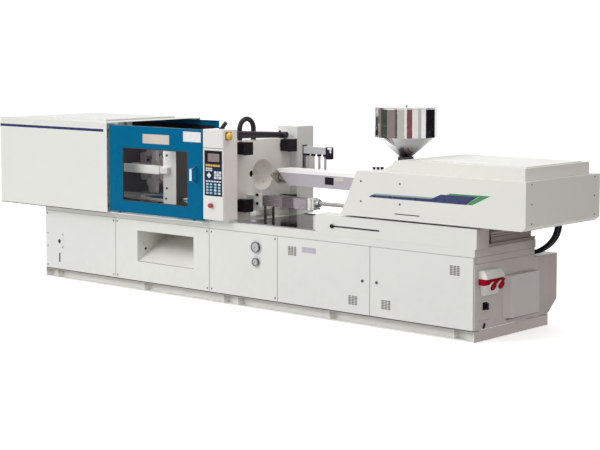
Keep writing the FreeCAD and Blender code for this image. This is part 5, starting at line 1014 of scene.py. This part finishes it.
# ---- hood ----
# A sheet hood in cream enamel with a raised cover, cut vinyl stripes in navy and green
# on both sides, socket screws, a long dark slot each side and three grease nipples.
hood_enamel = finish("hood_enamel", (0.84, 0.85, 0.81), (0.80, 0.81, 0.775), cloud=0.8, grain=230.0,
                     edge=0.003)
dress(hood_enamel, "hood")
green = finish("green", (0.06, 0.30, 0.10), (0.05, 0.26, 0.085), rough=(0.25, 0.35), cloud=3.0)
pale_green = finish("pale_green", (0.30, 0.42, 0.36), (0.24, 0.36, 0.32), rough=(0.25, 0.35), cloud=3.0)
SIDE, HOOD_END = 0.494, 2.332
STRIPES = ((navy, "navy", 0.0006, ((0.931, 0.990), (0.962, 1.008), (1.513, 1.015), (1.603, 1.052),
                                   (1.930, 1.0562), (1.826, 0.9925))),
           (green, "green", 0.0004, ((1.655, 1.053), (1.685, 1.065), (2.036, 1.068), (1.882, 0.995),
                                     (1.830, 0.994), (1.936, 1.056))),
           (pale_green, "pale", 0.0004, ((0.966, 1.0086), (0.987, 1.020), (1.530, 1.0265), (1.513, 1.0158))))
for made, name, thick, outline in STRIPES:
    work = bmesh.new()
    profile_y(work, outline, -SIDE - thick, -SIDE)
    profile_y(work, outline, SIDE, SIDE + thick)
    make("hood_stripe_" + name, work, made, body="carriage")
work = bmesh.new()
for side in (-1, 1):
    for x, z in ((0.855, 1.105), (1.228, 1.106), (0.855, 0.953), (1.228, 0.954)):
        screw_head(work, "y", (x, z), side * SIDE, side, 0.0075, 0.003)
for y in (-0.419, 0.419):
    for z in (0.888, 1.026, 1.164):
        screw_head(work, "x", (y, z), HOOD_END, 1, 0.0055, 0.0025)
make("hood_screws", work, dark_screw, body="carriage")
work = bmesh.new()
for side in (-1, 1):
    y0, y1 = sorted((side * SIDE, side * (SIDE + 0.0008)))
    slab(work, (1.180, y0, 0.8765), (1.411, y1, 0.8835))
make("hood_slots", work, ink, body="carriage")
work = bmesh.new()
for x, y in ((0.857, -0.338), (0.880, -0.318), (0.903, -0.298)):
    turned(work, "z", (x, y),
           [(1.1835, 0.009), (1.190, 0.009), (1.193, 0.013), (1.200, 0.013), (1.203, 0.009)], steps=20)
make("hood_grease_nipples", work, black_moulding, body="carriage")

# ---- hopper ----
# A spun hopper of mirror-polished stainless steel on a square neck, with a loose lid
# that has a rolled edge and a turned knob, and a milled steel shutter in the neck; low
# on the cone the steel's colour turns dark, a painted reflection.
# painted reflection: the steel turns dark low on the cone
mirror_steel = finish("mirror_steel", (0.78, 0.79, 0.80), (0.70, 0.71, 0.72), rough=(0.03, 0.08), metal=1.0,
                      cloud=2.0, grain=30.0, depth=0.0004, stretch=(1.0, 1.0, 2.0),
                      fades=(("Z", 1.37, 1.275, (0.10, 0.09, 0.10)),))
dress(mirror_steel, "hopper", "hopper_lid")
milled = finish("milled", (0.50, 0.50, 0.52), (0.38, 0.38, 0.40), rough=(0.28, 0.42), metal=1.0, cloud=3.0,
                grain=140.0, depth=0.0002, stretch=(0.1, 4.0, 4.0), edge=0.0015)
dress(milled, "hopper_shutter")
